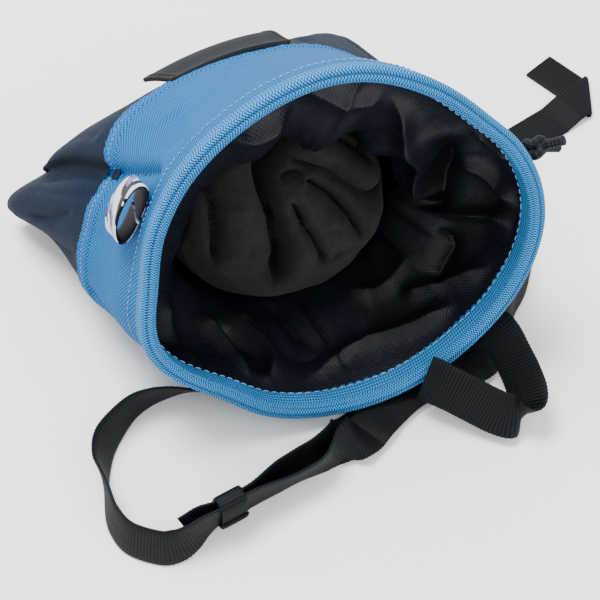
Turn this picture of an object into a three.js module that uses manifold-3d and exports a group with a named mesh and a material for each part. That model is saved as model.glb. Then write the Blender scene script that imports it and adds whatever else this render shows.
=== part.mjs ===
// A climbing chalk bag lying on its back: a stiff round mouth, a blue collar, a navy body that narrows
// like a wedge to a wide flat foot, a nylon skirt and a fleece lining inside, and a waist belt.
// Millimetres, +Z up. The surface that the bag lies on is the plane z = 0 while it is being built.
import * as THREE from 'three';
import Module from 'manifold-3d';
import { mergeVertices } from 'three/addons/utils/BufferGeometryUtils.js';

const wasm = await Module();
wasm.setup();

// Mouth, body and foot
const MOUTH_DIAMETER = 125;
const BAG_REACH = 119.8;
const FOOT_WIDTH = 145;
const FOOT_THICKNESS = 24.2;
const FOOT_PANEL_BULGE = 3;
const MOUTH_LEAN = 16;
const MOUTH_HEADING = 16;
const FOOT_HEADING = 34.5;
const BACK_SQUASH = 1.5;

// Middle line on the ground: direction of the foot's middle from the mouth's, and how the line leaves and arrives
const MIDDLE_HEADING = 29.5;
const LEAVE_SHARE = 0.35;
const ARRIVE_HEADING = 32;
const ARRIVE_SHARE = 0.334;
const RIM_STRETCH = 1.05;

// Walls and small gaps
const SHELL_WALL = 2.0;
const SKIRT_WALL = 1.4;
const FLEECE_WALL = 3.0;
const CLEARANCE = 0.35;

// Height of the mouth over the ground: it stands on two layers of the belt
const MOUTH_STAND = 3.7;

// Binding round the mouth
const BINDING_TAPE = 1.2;
const BINDING_CROWN = 1.4;
const BINDING_OUTER_LEG = 4.5;
const BINDING_INNER_LEG = 11;

// Nylon skirt and fleece
const SKIRT_DEPTH = 45;
const FLEECE_RADIUS = 37;
const FLEECE_DEPTH = 41;
const FLEECE_DROP = 9;
const FLEECE_TUCK = 22;
const FLEECE_SLOPE = 7;
const FLEECE_CROWN = 0.16;

// Webbing: belt, its keeper and loops
const WEBBING_WIDTH = 15;
const WEBBING_THICKNESS = 1.4;
const KEEPER_LENGTH = 9;
const KEEPER_WALL = 1.3;
const BELT_LOOP_WIDTH = 22;
const BELT_LOOP_WALL = 1.2;
const BELT_LOOP_SPAN = [0.12, 0.3];
const BELT_REACH = 55;
const BELT_SPREAD = 80;
const HAUL_LOOP_REACH = 34;
const TAIL_REACH = 150;
const TAIL_FLAP = 17;
const BRUSH_LOOP_WIDTH = 11;
const BRUSH_LOOP_RISE = 7;
const BRUSH_LOOP_WALL = 1.2;

// Label and cord knot
const LABEL_LENGTH = 41;
const LABEL_HEIGHT = 22;
const LABEL_WALL = 1.1;
const KNOT_RADIUS = 4.4;
const CORD_DIAMETER = 3.0;
const CORD_END_LENGTH = 13;

// Facets round the bag and along webbing
const FACETS_AROUND = 60;
const FACETS_FLEECE = 40;

const rad = THREE.MathUtils.degToRad;
const UP = new THREE.Vector3(0, 0, 1);

const COLLAR_RADIUS = MOUTH_DIAMETER / 2 - BINDING_TAPE - CLEARANCE;
const LEAN = rad(MOUTH_LEAN);
const MOUTH_BASE = heading(MOUTH_HEADING).multiplyScalar(Math.sin(LEAN) * (MOUTH_DIAMETER / 2));

// Sections from mouth to foot. width and height run from the mouth's radius (0) to half the foot's size (1).
const SECTION_COLUMNS = ['along', 'width', 'height', 'square', 'turn'];
const SECTIONS = [
  [0.00, 0.00, 0.000, 2.00, 0.00],
  [0.18, 0.00, 0.118, 2.00, 0.16],
  [0.38, 0.13, 0.249, 2.00, 0.43],
  [0.60, 0.43, 0.449, 2.10, 0.68],
  [0.80, 0.78, 0.683, 2.15, 0.86],
  [0.93, 1.02, 0.867, 2.15, 0.97],
  [1.00, 0.98, 1.000, 2.20, 1.00],
];

// Round variation of the mouth, as a share of its radius, by angle from the right side over the front.
const MOUTH_COLUMNS = ['angle', 'share'];
const MOUTH_SHAPE = [
  [0, 1.020], [25, 0.996], [42, 0.966], [62, 0.988], [88, 1.028], [120, 0.994],
  [155, 0.985], [175, 0.976], [197, 1.028], [224, 0.972], [243, 1.008], [272, 1.000],
  [308, 0.982], [335, 1.002],
];

// Folds and bulges: where along the bag, at which angle, how far they spread and how deep they go, in mouth radii.
const FOLD_COLUMNS = ['along', 'angle', 'spreadAlong', 'spreadAngle', 'depth'];
const FOLDS = [
  [0.90, 150, 0.45, 8, 0.150],
  [0.75, 130, 0.40, 14, -0.016],
  [0.40, 204, 0.30, 26, -0.165],
  [0.16, 196, 0.12, 22, -0.049],
  [0.50, 38, 0.35, 30, 0.130],
  [0.98, 35, 0.30, 26, -0.050],
];

// Edge between the collar and the body, by angle, as a share of the bag's reach.
const COLLAR_COLUMNS = ['angle', 'along'];
const COLLAR_EDGE = [
  [0, 0.44], [40, 0.46], [70, 0.52], [95, 0.57], [125, 0.56], [140, 0.51],
  [160, 0.46], [185, 0.45], [205, 0.47], [235, 0.45], [280, 0.43], [320, 0.43],
];

// Room under the collar for the belt: height of the collar's underside, as a share of MOUTH_STAND.
const CHANNEL_COLUMNS = ['along', 'share'];
const CHANNEL = [
  [0.00, 1.0], [0.045, 1.0], [0.088, 1.0], [0.15, 1.0], [0.21, 1.0], [0.27, 1.0], [0.35, 0.45], [0.42, 0.0],
];

// Inner edge of the nylon skirt, by angle: distance from the section's middle in mouth radii, share of depth.
const SKIRT_COLUMNS = ['angle', 'radius', 'depth'];
const SKIRT_EDGE = [
  [0, 0.54, 0.84], [25, 0.44, 0.78], [50, 0.36, 0.74], [78, 0.28, 0.74], [100, 0.30, 0.76], [125, 0.46, 0.82],
  [155, 0.52, 0.92], [185, 0.60, 1.00], [210, 0.72, 1.08], [240, 0.76, 1.12], [270, 0.70, 1.14], [300, 0.72, 1.10],
  [330, 0.68, 0.96],
];

// Pleats of the skirt, by angle: spread in degrees, depth in mouth radii at the inner edge.
const PLEAT_COLUMNS = ['angle', 'spread', 'depth'];
const PLEATS = [
  [8, 7, 0.060], [30, 7, -0.070], [50, 8, 0.060], [72, 8, -0.060], [96, 8, 0.060], [118, 9, -0.050],
  [145, 9, 0.050], [205, 10, 0.035], [318, 9, -0.045], [342, 8, 0.050],
];

// Folds of the fleece: a line from one place to another in fleece radii, its half width and its depth.
const FLEECE_COLUMNS = ['x0', 'y0', 'x1', 'y1', 'halfWidth', 'depth'];
const FLEECE_FOLDS = [
  [0.25, 0.66, -0.18, 0.36, 0.11, 0.16],
  [-0.18, 0.36, -0.16, -0.20, 0.12, 0.18],
  [-0.16, -0.20, -0.24, -0.80, 0.12, 0.15],
  [-0.62, 0.46, -0.60, -0.30, 0.10, 0.10],
  [0.35, 0.18, 0.92, -0.10, 0.10, 0.12],
  [0.28, 0.02, 0.66, -0.55, 0.09, 0.08],
];

// Route of the belt. side and ahead are shares of BELT_SPREAD and BELT_REACH from under the mouth's lowest
// point (ahead is towards the viewer of the mouth), roll turns the webbing from standing (0) to flat (90),
// lift is a share of the room that the keeper and the loop under the collar take.
const BELT_COLUMNS = ['side', 'ahead', 'roll', 'lift'];
const BELT_ROUTE = [
  [-0.666, 0.822, 10, 0.20],
  [-0.610, 0.764, 4, 0.70],
  [-0.557, 0.727, -4, 1.00],
  [-0.505, 0.687, -8, 1.00],
  [-0.455, 0.644, -6, 1.00],
  [-0.405, 0.595, -2, 0.85],
  [-0.320, 0.476, 4, 0.10],
  [-0.242, 0.396, 6, 0.00],
  [-0.160, 0.324, 11, 0.00],
  [-0.092, 0.262, 36, 0.00],
  [-0.040, 0.189, 76, 0.00],
  [0.022, 0.102, 90, 0.00],
  [0.113, -0.033, 90, 0.00],
  [0.210, -0.153, 90, 0.00],
  [0.295, -0.247, 90, 0.00],
  [0.362, -0.353, 90, 0.00],
  [0.408, -0.475, 72, 0.00],
  [0.443, -0.567, 44, 0.00],
  [0.432, -0.662, 30, 0.00],
  [0.378, -0.727, 48, 0.20],
  [0.300, -0.695, 78, 0.70],
  [0.175, -0.571, 90, 0.85],
  [-0.081, -0.422, 90, 0.85],
  [-0.237, -0.345, 90, 0.85],
  [-0.370, -0.273, 88, 0.80],
  [-0.475, -0.196, 72, 0.50],
  [-0.562, -0.135, 50, 0.10],
  [-0.629, -0.098, 36, 0.00],
  [-0.714, -0.085, 26, 0.00],
  [-0.774, -0.067, 18, 0.00],
  [-0.836, -0.036, 10, 0.00],
  [-0.904, 0.024, 0, 0.00],
  [-0.963, 0.133, -10, 0.00],
  [-1.009, 0.265, -18, 0.00],
  [-1.016, 0.402, -14, 0.00],
  [-0.997, 0.509, -2, 0.00],
  [-0.978, 0.624, 10, 0.00],
  [-0.948, 0.753, 16, 0.00],
  [-0.880, 0.869, 19, 0.00],
  [-0.760, 0.929, 19, 0.00],
  [-0.694, 0.916, 17, 0.05],
  [-0.642, 0.876, 10, 0.35],
  [-0.593, 0.818, 0, 0.80],
  [-0.542, 0.767, -8, 1.00],
  [-0.492, 0.720, -8, 1.00],
  [-0.443, 0.676, -6, 1.00],
  [-0.392, 0.631, -8, 0.85],
  [-0.300, 0.549, -13, 0.15],
  [-0.223, 0.484, -15, 0.00],
  [-0.141, 0.415, -8, 0.00],
  [-0.075, 0.320, 14, 0.10],
  [-0.017, 0.249, 46, 0.85],
  [0.041, 0.156, 90, 0.90],
  [0.128, -0.004, 90, 0.78],
  [0.220, -0.135, 90, 0.76],
  [0.318, -0.215, 90, 0.80],
  [0.408, -0.262, 89, 0.88],
  [0.495, -0.313, 78, 0.85],
  [0.568, -0.389, 46, 0.20],
  [0.620, -0.487, 20, 0.00],
  [0.657, -0.600, 8, 0.00],
  [0.685, -0.720, 8, 0.00],
];

// The belt's free tail, from the right side of the mouth to its folded end, in shares of TAIL_REACH.
const TAIL_COLUMNS = ['side', 'back', 'roll'];
const TAIL_ROUTE = [
  [0.392, 0.331, 16],
  [0.412, 0.431, 24],
  [0.418, 0.536, 38],
  [0.407, 0.636, 62],
  [0.402, 0.718, 86],
  [0.425, 0.782, 90],
  [0.480, 0.828, 90],
  [0.536, 0.870, 90],
];
const TAIL_HEADING = 40.8;
const TAIL_TURN = 93;
const TAIL_FOLD_STEPS = 4;

// Carrying loop on the right of the mouth: middle line and direction of its width, in shares of its reach.
const HAUL_COLUMNS = ['side', 'back', 'rise', 'widthSide', 'widthBack', 'widthUp'];
const HAUL_ROUTE = [
  [0.000, 0.000, 0.000, 0.66, 0.39, 0.64],
  [0.200, -0.131, 0.024, 0.67, 0.40, 0.63],
  [0.450, -0.241, -0.041, 0.69, 0.42, 0.59],
  [0.700, -0.331, -0.121, 0.71, 0.44, 0.55],
  [0.870, -0.356, -0.131, 0.71, 0.40, 0.57],
  [0.965, -0.261, -0.121, 0.70, 0.28, 0.64],
  [0.975, -0.111, -0.096, 0.70, 0.14, 0.69],
  [0.920, 0.059, -0.031, 0.68, 0.08, 0.72],
  [0.840, 0.199, 0.059, 0.63, 0.12, 0.76],
  [0.765, 0.330, 0.120, 0.60, 0.25, 0.74],
  [0.690, 0.420, 0.165, 0.61, 0.35, 0.70],
  [0.635, 0.480, 0.180, 0.61, 0.39, 0.69],
];
const HAUL_ANGLE = -66.5;
const HAUL_FORWARD = 3.4;
const HAUL_INSET = 2.2;

// Brush loop and label on the cloth, and the knot by the mouth
const BRUSH_LOOP_ALONG = 0.145;
const BRUSH_LOOP_FROM = 144;
const BRUSH_LOOP_TO = 168;
const LABEL_ALONG = 0.67;
const LABEL_ANGLE = 91;
const LABEL_SKEW = 3;
const LABEL_STAND = 1.6;
const KNOT_ANGLE = 17;
const KNOT_ALONG = 0.05;
const KNOT_STAND = 1.15 * BINDING_TAPE;
const KNOT_ENDS = [[0.75, -0.25, 0.6], [0.85, 0.35, -0.4]];
const KEEPER_ROOM = 2 * WEBBING_THICKNESS + 6 * CLEARANCE;
const KEEPER_STAND = 3 * CLEARANCE;
const KEEPER_ROWS = [3, 44];

/** Rows of a table as objects with named columns. */
function named(columns, rows) {
  return rows.map((row) => Object.fromEntries(columns.map((column, i) => [column, row[i]])));
}

/** Smooth curve through a table's column, clamped at both ends. */
function sample(rows, key, x, column) {
  const last = rows.length - 1;
  if (x <= rows[0][key]) return rows[0][column];
  if (x >= rows[last][key]) return rows[last][column];
  let i = 0;
  while (rows[i + 1][key] < x) i += 1;
  const span = rows[i + 1][key] - rows[i][key];
  const s = (x - rows[i][key]) / span;
  const slope = (k) => {
    const a = rows[Math.max(k - 1, 0)];
    const b = rows[Math.min(k + 1, last)];
    return ((b[column] - a[column]) / (b[key] - a[key])) * span;
  };
  const h = s * s * (3 - 2 * s);
  const ease = s * (1 - s) * (1 - s) * slope(i) - s * s * (1 - s) * slope(i + 1);
  return rows[i][column] * (1 - h) + rows[i + 1][column] * h + ease;
}

/** Smooth curve through a table that goes round in angle. */
function sampleRound(rows, angle, column) {
  const x = ((angle % 360) + 360) % 360;
  const before = rows.map((row) => ({ ...row, angle: row.angle - 360 }));
  const after = rows.map((row) => ({ ...row, angle: row.angle + 360 }));
  return sample([...before.slice(-2), ...rows, ...after.slice(0, 2)], 'angle', x, column);
}

/** Signed difference of two angles in degrees. */
function turnBetween(a, b) {
  return ((a - b + 540) % 360) - 180;
}

const sections = named(SECTION_COLUMNS, SECTIONS);
const mouthShape = named(MOUTH_COLUMNS, MOUTH_SHAPE);
const folds = named(FOLD_COLUMNS, FOLDS);
const collarEdge = named(COLLAR_COLUMNS, COLLAR_EDGE);
const channel = named(CHANNEL_COLUMNS, CHANNEL);
const skirtEdge = named(SKIRT_COLUMNS, SKIRT_EDGE);
const pleats = named(PLEAT_COLUMNS, PLEATS);
const fleeceFolds = named(FLEECE_COLUMNS, FLEECE_FOLDS);

/** Direction on the ground, turned to the left of straight back by the given degrees. */
function heading(degrees) {
  return new THREE.Vector3(-Math.sin(rad(degrees)), Math.cos(rad(degrees)), 0);
}

/** Middle of a section on the ground plan. */
function middle(along) {
  const away = (degrees, share) => heading(degrees).multiplyScalar(BAG_REACH * share);
  if (along < 0) {
    return MOUTH_BASE.clone().add(away(MOUTH_HEADING, RIM_STRETCH * along));
  }
  const end = MOUTH_BASE.clone().add(away(MIDDLE_HEADING, 1));
  const leave = MOUTH_BASE.clone().add(away(MOUTH_HEADING, LEAVE_SHARE));
  const arrive = end.clone().sub(away(ARRIVE_HEADING, ARRIVE_SHARE));
  return new THREE.CubicBezierCurve3(MOUTH_BASE, leave, arrive, end).getPoint(Math.min(along, 1));
}

/** Frame of a section: its middle, its sideways and upward directions, and its half sizes. */
function sectionAt(along) {
  const t = Math.max(along, 0);
  const width = sample(sections, 'along', t, 'width');
  const height = sample(sections, 'along', t, 'height');
  const turn = rad(MOUTH_HEADING + (FOOT_HEADING - MOUTH_HEADING) * sample(sections, 'along', t, 'turn'));
  const halfWidth = COLLAR_RADIUS + (FOOT_WIDTH / 2 - COLLAR_RADIUS) * width;
  const halfHeight = COLLAR_RADIUS + (FOOT_THICKNESS / 2 - COLLAR_RADIUS) * height;
  const side = new THREE.Vector3(Math.cos(turn), Math.sin(turn), 0);
  const back = new THREE.Vector3(-Math.sin(turn), Math.cos(turn), 0);
  const rise = UP.clone().multiplyScalar(Math.cos(LEAN)).addScaledVector(back, Math.sin(LEAN));
  const settle = THREE.MathUtils.smoothstep(t, 0, 0.4);
  const stand = (MOUTH_STAND + MOUTH_DIAMETER / 2 - COLLAR_RADIUS) * (1 - settle) - BACK_SQUASH * settle;
  const centre = middle(along);
  centre.z = halfHeight * Math.cos(LEAN) + stand;
  if (along < 0) {
    centre.z -= along * RIM_STRETCH * BAG_REACH * Math.tan(LEAN);
  }
  return { centre, side, rise, halfWidth, halfHeight, square: sample(sections, 'along', t, 'square') };
}

/** Distance of the cloth from the middle of a section, in a direction given in degrees. */
function clothRadius(section, along, angle) {
  const c = Math.cos(rad(angle));
  const s = Math.sin(rad(angle));
  const p = section.square;
  const edge = 1 / (Math.abs(c) ** p + Math.abs(s) ** p) ** (1 / p);
  const x = section.halfWidth * edge * c;
  const y = section.halfHeight * edge * s;
  let depth = 0;
  for (const fold of folds) {
    const da = turnBetween(angle, fold.angle) / fold.spreadAngle;
    const dt = (along - fold.along) / fold.spreadAlong;
    depth += fold.depth * COLLAR_RADIUS * Math.exp(-dt * dt - da * da);
  }
  const fade = 1 - THREE.MathUtils.smoothstep(along, 0, 0.5);
  const mouth = 1 + (sampleRound(mouthShape, angle, 'share') - 1) * fade;
  const reach = Math.hypot(x, y);
  const gain = mouth - depth / reach;
  return new THREE.Vector2(x * gain, y * gain);
}

/** A point of the cloth, drawn in by inset along the section's radius and kept above the ground. */
function cloth(along, angle, inset = 0) {
  const section = sectionAt(along);
  const flat = clothRadius(section, along, angle);
  flat.multiplyScalar(1 - inset / flat.length());
  const point = section.centre.clone()
    .addScaledVector(section.side, flat.x)
    .addScaledVector(section.rise, flat.y);
  const floor = sample(channel, 'along', along, 'share') * MOUTH_STAND;
  point.z = Math.max(point.z, floor + inset);
  return point;
}

/** Share of the bag's reach at a depth below the mouth's plane. */
function alongAtDepth(depth) {
  const out = heading(MOUTH_HEADING).negate();
  const measure = (t) => -middle(t).sub(MOUTH_BASE).dot(out) * Math.cos(LEAN);
  let low = 0;
  let high = 1;
  for (let i = 0; i < 24; i += 1) {
    const mid = (low + high) / 2;
    if (measure(mid) < depth) low = mid;
    else high = mid;
  }
  return (low + high) / 2;
}

/** Geometry of a closed body from vertices and triangles, turned so that its faces point out. */
function solid(points, triangles) {
  let volume = 0;
  for (const [a, b, c] of triangles) {
    volume += points[a].dot(new THREE.Vector3().crossVectors(points[b], points[c]));
  }
  const faces = volume < 0 ? triangles.map(([a, b, c]) => [a, c, b]) : triangles;
  const geometry = new THREE.BufferGeometry();
  geometry.setAttribute('position', new THREE.Float32BufferAttribute(points.flatMap((p) => p.toArray()), 3));
  geometry.setIndex(faces.flat());
  geometry.computeVertexNormals();
  return geometry;
}

/** Two triangles of a quad. */
function quad(a, b, c, d) {
  return [[a, b, c], [a, c, d]];
}

/** A wall between an outer and an inner sheet that both go round; the last row may close on a point. */
function roundWall(outer, inner, tips = null) {
  const rows = outer.length;
  const count = outer[0].length;
  const points = [...outer.flat(), ...inner.flat()];
  const out = (i, j) => i * count + (j % count);
  const inn = (i, j) => rows * count + out(i, j);
  const faces = [];
  for (let j = 0; j < count; j += 1) {
    for (let i = 0; i < rows - 1; i += 1) {
      faces.push(...quad(out(i, j), out(i, j + 1), out(i + 1, j + 1), out(i + 1, j)));
      faces.push(...quad(inn(i, j), inn(i + 1, j), inn(i + 1, j + 1), inn(i, j + 1)));
    }
    faces.push(...quad(out(0, j), inn(0, j), inn(0, j + 1), out(0, j + 1)));
    if (tips === null) {
      const last = rows - 1;
      faces.push(...quad(out(last, j), out(last, j + 1), inn(last, j + 1), inn(last, j)));
    }
  }
  if (tips !== null) {
    const outTip = points.length;
    points.push(tips[0], tips[1]);
    for (let j = 0; j < count; j += 1) {
      faces.push([out(rows - 1, j), out(rows - 1, j + 1), outTip]);
      faces.push([inn(rows - 1, j), outTip + 1, inn(rows - 1, j + 1)]);
    }
  }
  return solid(points, faces);
}

/** A ring made by carrying a closed outline round the mouth. */
function ringBody(rows) {
  const count = rows[0].length;
  const total = rows.length;
  const points = rows.flat();
  const at = (i, j) => (i % total) * count + (j % count);
  const faces = [];
  for (let i = 0; i < total; i += 1) {
    for (let j = 0; j < count; j += 1) {
      faces.push(...quad(at(i, j), at(i + 1, j), at(i + 1, j + 1), at(i, j + 1)));
    }
  }
  return solid(points, faces);
}

/** Flat webbing through rows that give its middle and the direction of its width. */
function webbing(rows, width, thickness) {
  const points = [];
  rows.forEach((row, i) => {
    const before = rows[Math.max(i - 1, 0)].middle;
    const after = rows[Math.min(i + 1, rows.length - 1)].middle;
    const ahead = after.clone().sub(before).normalize();
    const across = row.across.clone().normalize().multiplyScalar((width / 2) * (row.stretch ?? 1));
    const face = row.face ?? new THREE.Vector3().crossVectors(ahead, across).normalize();
    const lift = face.clone().multiplyScalar(thickness / 2);
    for (const [a, b] of [[-1, -1], [1, -1], [1, 1], [-1, 1]]) {
      points.push(row.middle.clone().addScaledVector(across, a).addScaledVector(lift, b));
    }
  });
  const faces = [...quad(0, 1, 2, 3)];
  for (let i = 0; i < rows.length - 1; i += 1) {
    for (let j = 0; j < 4; j += 1) {
      const k = (j + 1) % 4;
      faces.push(...quad(4 * i + j, 4 * i + 4 + j, 4 * i + 4 + k, 4 * i + k));
    }
  }
  const e = 4 * (rows.length - 1);
  faces.push(...quad(e + 3, e + 2, e + 1, e));
  return solid(points, faces);
}

/** Angles round the bag. */
const around = Array.from({ length: FACETS_AROUND }, (_, j) => (360 * j) / FACETS_AROUND);

/** Rows of the cloth at the given places along the bag. */
function clothRows(places, inset) {
  return places.map((place) => around.map((angle) => cloth(place(angle), angle, inset)));
}

/** Collar: from under the binding to the seam with the body. */
function collar() {
  const seam = (angle) => sampleRound(collarEdge, angle, 'along');
  const free = channelPlaces().at(-1);
  const fixed = channelPlaces().map((along) => () => along);
  const joined = [0.45, 1].map((share) => (angle) => free + (seam(angle) - free) * share);
  const places = [...fixed, ...joined];
  return roundWall(clothRows(places, 0), clothRows(places, SHELL_WALL));
}

/** Body: from the seam to the foot, closed by the foot's end panel. */
function bodyShell() {
  const start = (angle) => sampleRound(collarEdge, angle, 'along') + CLEARANCE / BAG_REACH;
  const shares = [0, 0.16, 0.34, 0.52, 0.7, 0.86, 1];
  const rows = (inset, end) => shares.map((share) => around.map((angle) => {
    const from = start(angle);
    return cloth(from + (end - from) * share, angle, inset);
  }));
  const panel = (inset, end) => {
    const { centre } = sectionAt(end);
    return [0.72, 0.36].map((scale) => around.map((angle) => {
      const edge = cloth(end, angle, inset);
      const point = centre.clone().lerp(edge, scale);
      return point.addScaledVector(heading(FOOT_HEADING), (1 - scale) * FOOT_PANEL_BULGE);
    }));
  };
  const innerEnd = 1 - SHELL_WALL / BAG_REACH;
  const outer = [...rows(0, 1), ...panel(0, 1)];
  const inner = [...rows(SHELL_WALL, innerEnd), ...panel(SHELL_WALL, innerEnd)];
  const tip = (end) => sectionAt(end).centre.addScaledVector(heading(FOOT_HEADING), FOOT_PANEL_BULGE);
  return roundWall(outer, inner, [tip(1), tip(innerEnd)]);
}

/** Binding: tape folded over the top edges of the collar and the skirt. */
function rimBinding() {
  const tape = BINDING_TAPE;
  const slot = SHELL_WALL + SKIRT_WALL + 3 * CLEARANCE;
  const outline = [
    [-CLEARANCE, BINDING_OUTER_LEG],
    [-CLEARANCE - tape, BINDING_OUTER_LEG],
    [-CLEARANCE - tape, 0],
    [-CLEARANCE - tape * 0.3, -BINDING_CROWN],
    [slot * 0.45, -BINDING_CROWN * 1.5],
    [slot, -BINDING_CROWN],
    ...[0, 0.515, 1].map((share) => [slot + tape - CLEARANCE, BINDING_INNER_LEG * share]),
    ...[1, 0.515, 0].map((share) => [slot, BINDING_INNER_LEG * share]),
    [-CLEARANCE, 0],
  ];
  const rows = around.map((angle) => outline.map(([inset, depth]) => {
    const along = depth / (RIM_STRETCH * BAG_REACH);
    const point = cloth(along, angle, inset);
    point.z = Math.max(point.z, MOUTH_STAND);
    return point;
  }));
  return ringBody(rows);
}

/** Places along the bag where the channel under the collar starts, steps and ends. */
function channelPlaces() {
  return CHANNEL.map(([along]) => Math.max(along, CLEARANCE / BAG_REACH));
}

/** Place along the bag where the skirt's inner edge lies. */
function skirtEnd(angle) {
  return alongAtDepth(SKIRT_DEPTH) * sampleRound(skirtEdge, angle, 'depth');
}

/** A point of the skirt, drawn in from the collar to its gathered edge. */
function skirtPoint(along, angle, extra) {
  const wall = cloth(along, angle, SHELL_WALL + CLEARANCE + extra);
  const section = sectionAt(along);
  const target = sampleRound(skirtEdge, angle, 'radius') * COLLAR_RADIUS - extra;
  let pleat = 0;
  for (const row of pleats) {
    pleat += row.depth * COLLAR_RADIUS * Math.exp(-((turnBetween(angle, row.angle) / row.spread) ** 2));
  }
  const outward = wall.clone().sub(section.centre);
  const drawn = THREE.MathUtils.smoothstep(along / skirtEnd(angle), 0.35, 1) ** 0.9;
  const length = outward.length();
  const radius = Math.min(length + (target - length) * drawn + pleat * drawn, length);
  return section.centre.clone().addScaledVector(outward, radius / length);
}

/** Nylon skirt: along the collar first, then drawn in to its gathered inner edge. */
function liningSkirt() {
  const free = channelPlaces().at(-1);
  const places = [
    ...channelPlaces().map((along) => () => along),
    ...[0.45, 1].map((share) => (angle) => free + (skirtEnd(angle) - free) * share),
  ];
  const sheet = (extra) => places.map((place) => around.map((angle) => skirtPoint(place(angle), angle, extra)));
  return roundWall(sheet(0), sheet(SKIRT_WALL));
}

/** Depth of the fleece's folds at a place given in fleece radii. */
function fleeceFoldDepth(x, y) {
  let depth = 0;
  for (const fold of fleeceFolds) {
    const dx = fold.x1 - fold.x0;
    const dy = fold.y1 - fold.y0;
    const s = THREE.MathUtils.clamp(((x - fold.x0) * dx + (y - fold.y0) * dy) / (dx * dx + dy * dy), 0, 1);
    const gap = Math.hypot(x - fold.x0 - dx * s, y - fold.y0 - dy * s) / fold.halfWidth;
    depth = Math.max(depth, fold.depth * Math.exp(-gap * gap));
  }
  return depth * FLEECE_RADIUS;
}

/** Fleece lining: a crumpled mound towards the mouth with its edge tucked back into the bag. */
function fleeceLining() {
  const rings = [0.2, 0.4, 0.6, 0.78, 0.92, 1.02, 1.0, 0.9];
  const tuck = [0, 0, 0, 0, 0.05, 0.3, 0.65, 1];
  const crown = FLEECE_CROWN * FLEECE_RADIUS;
  const place = (ring, back, angle, extra) => {
    const c = Math.cos(rad(angle));
    const s = Math.sin(rad(angle));
    const dip = fleeceFoldDepth(ring * c, ring * s);
    const dome = crown * (1 - ring ** 2);
    const droop = FLEECE_SLOPE * Math.max(ring * s, 0);
    const depth = FLEECE_DEPTH - dome + dip + droop + back * FLEECE_TUCK + extra * (1 - back);
    const along = alongAtDepth(depth);
    const section = sectionAt(along);
    const radius = ring * FLEECE_RADIUS - extra * back;
    const flat = new THREE.Vector2(radius * c, radius * s - FLEECE_DROP);
    const turn = THREE.MathUtils.radToDeg(Math.atan2(flat.y, flat.x));
    const inset = SHELL_WALL + SKIRT_WALL + 3 * CLEARANCE + extra * 0.9;
    let wall = clothRadius(section, along, turn).length() - inset;
    if (along < skirtEnd(turn) * 1.1) {
      const skirt = skirtPoint(along, turn, SKIRT_WALL).distanceTo(section.centre);
      wall = Math.min(wall, skirt - 4 * CLEARANCE - extra * 0.9);
    }
    if (flat.length() > wall) flat.setLength(wall);
    const point = section.centre.clone().addScaledVector(section.side, flat.x).addScaledVector(section.rise, flat.y);
    point.z = Math.max(point.z, inset);
    return point;
  };
  const angles = Array.from({ length: FACETS_FLEECE }, (_, j) => (360 * j) / FACETS_FLEECE);
  const sheet = (extra) => rings.map((ring, i) => angles.map((angle) => place(ring, tuck[i], angle, extra)));
  const front = sheet(0).reverse();
  const behind = sheet(FLEECE_WALL).reverse();
  return roundWall(front, behind, [place(0, 0, 0, 0), place(0, 0, 0, FLEECE_WALL)]);
}

/** Belt rows from its sewn end by the keeper round to its folded tail. */
function beltRows() {
  const route = named(BELT_COLUMNS, BELT_ROUTE).map((row) => ({
    plan: new THREE.Vector3(row.side * BELT_SPREAD, -row.ahead * BELT_REACH, row.lift),
    roll: row.roll,
  }));
  const tail = named(TAIL_COLUMNS, TAIL_ROUTE).map((row) => ({
    plan: new THREE.Vector3(row.side * TAIL_REACH, row.back * TAIL_REACH, 0),
    roll: row.roll,
  }));
  const all = [...route, ...tail];
  const perStep = 2;
  const steps = (all.length - 1) * perStep;
  const rollAt = new THREE.CatmullRomCurve3(all.map((row, i) => new THREE.Vector3(row.roll, i, 0)));
  const planAt = new THREE.CatmullRomCurve3(all.map((row) => row.plan), false, 'catmullrom', 0.5);
  const rows = [];
  for (let i = 0; i <= steps; i += 1) {
    const u = i / steps;
    const plan = planAt.getPoint(u);
    const ahead = planAt.getPoint(Math.min(u + 1e-3, 1)).sub(planAt.getPoint(Math.max(u - 1e-3, 0)));
    ahead.z = 0;
    ahead.normalize();
    const left = new THREE.Vector3().crossVectors(UP, ahead);
    const roll = rad(rollAt.getPoint(u).x);
    const across = UP.clone().multiplyScalar(Math.cos(roll)).addScaledVector(left, Math.sin(roll));
    const stand = (WEBBING_WIDTH / 2) * Math.abs(Math.cos(roll))
      + (WEBBING_THICKNESS / 2) * Math.abs(Math.sin(roll));
    const lift = plan.z * (KEEPER_WALL + KEEPER_STAND);
    rows.push({ middle: new THREE.Vector3(plan.x, plan.y, stand + lift), across });
  }
  return rows;
}

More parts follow.
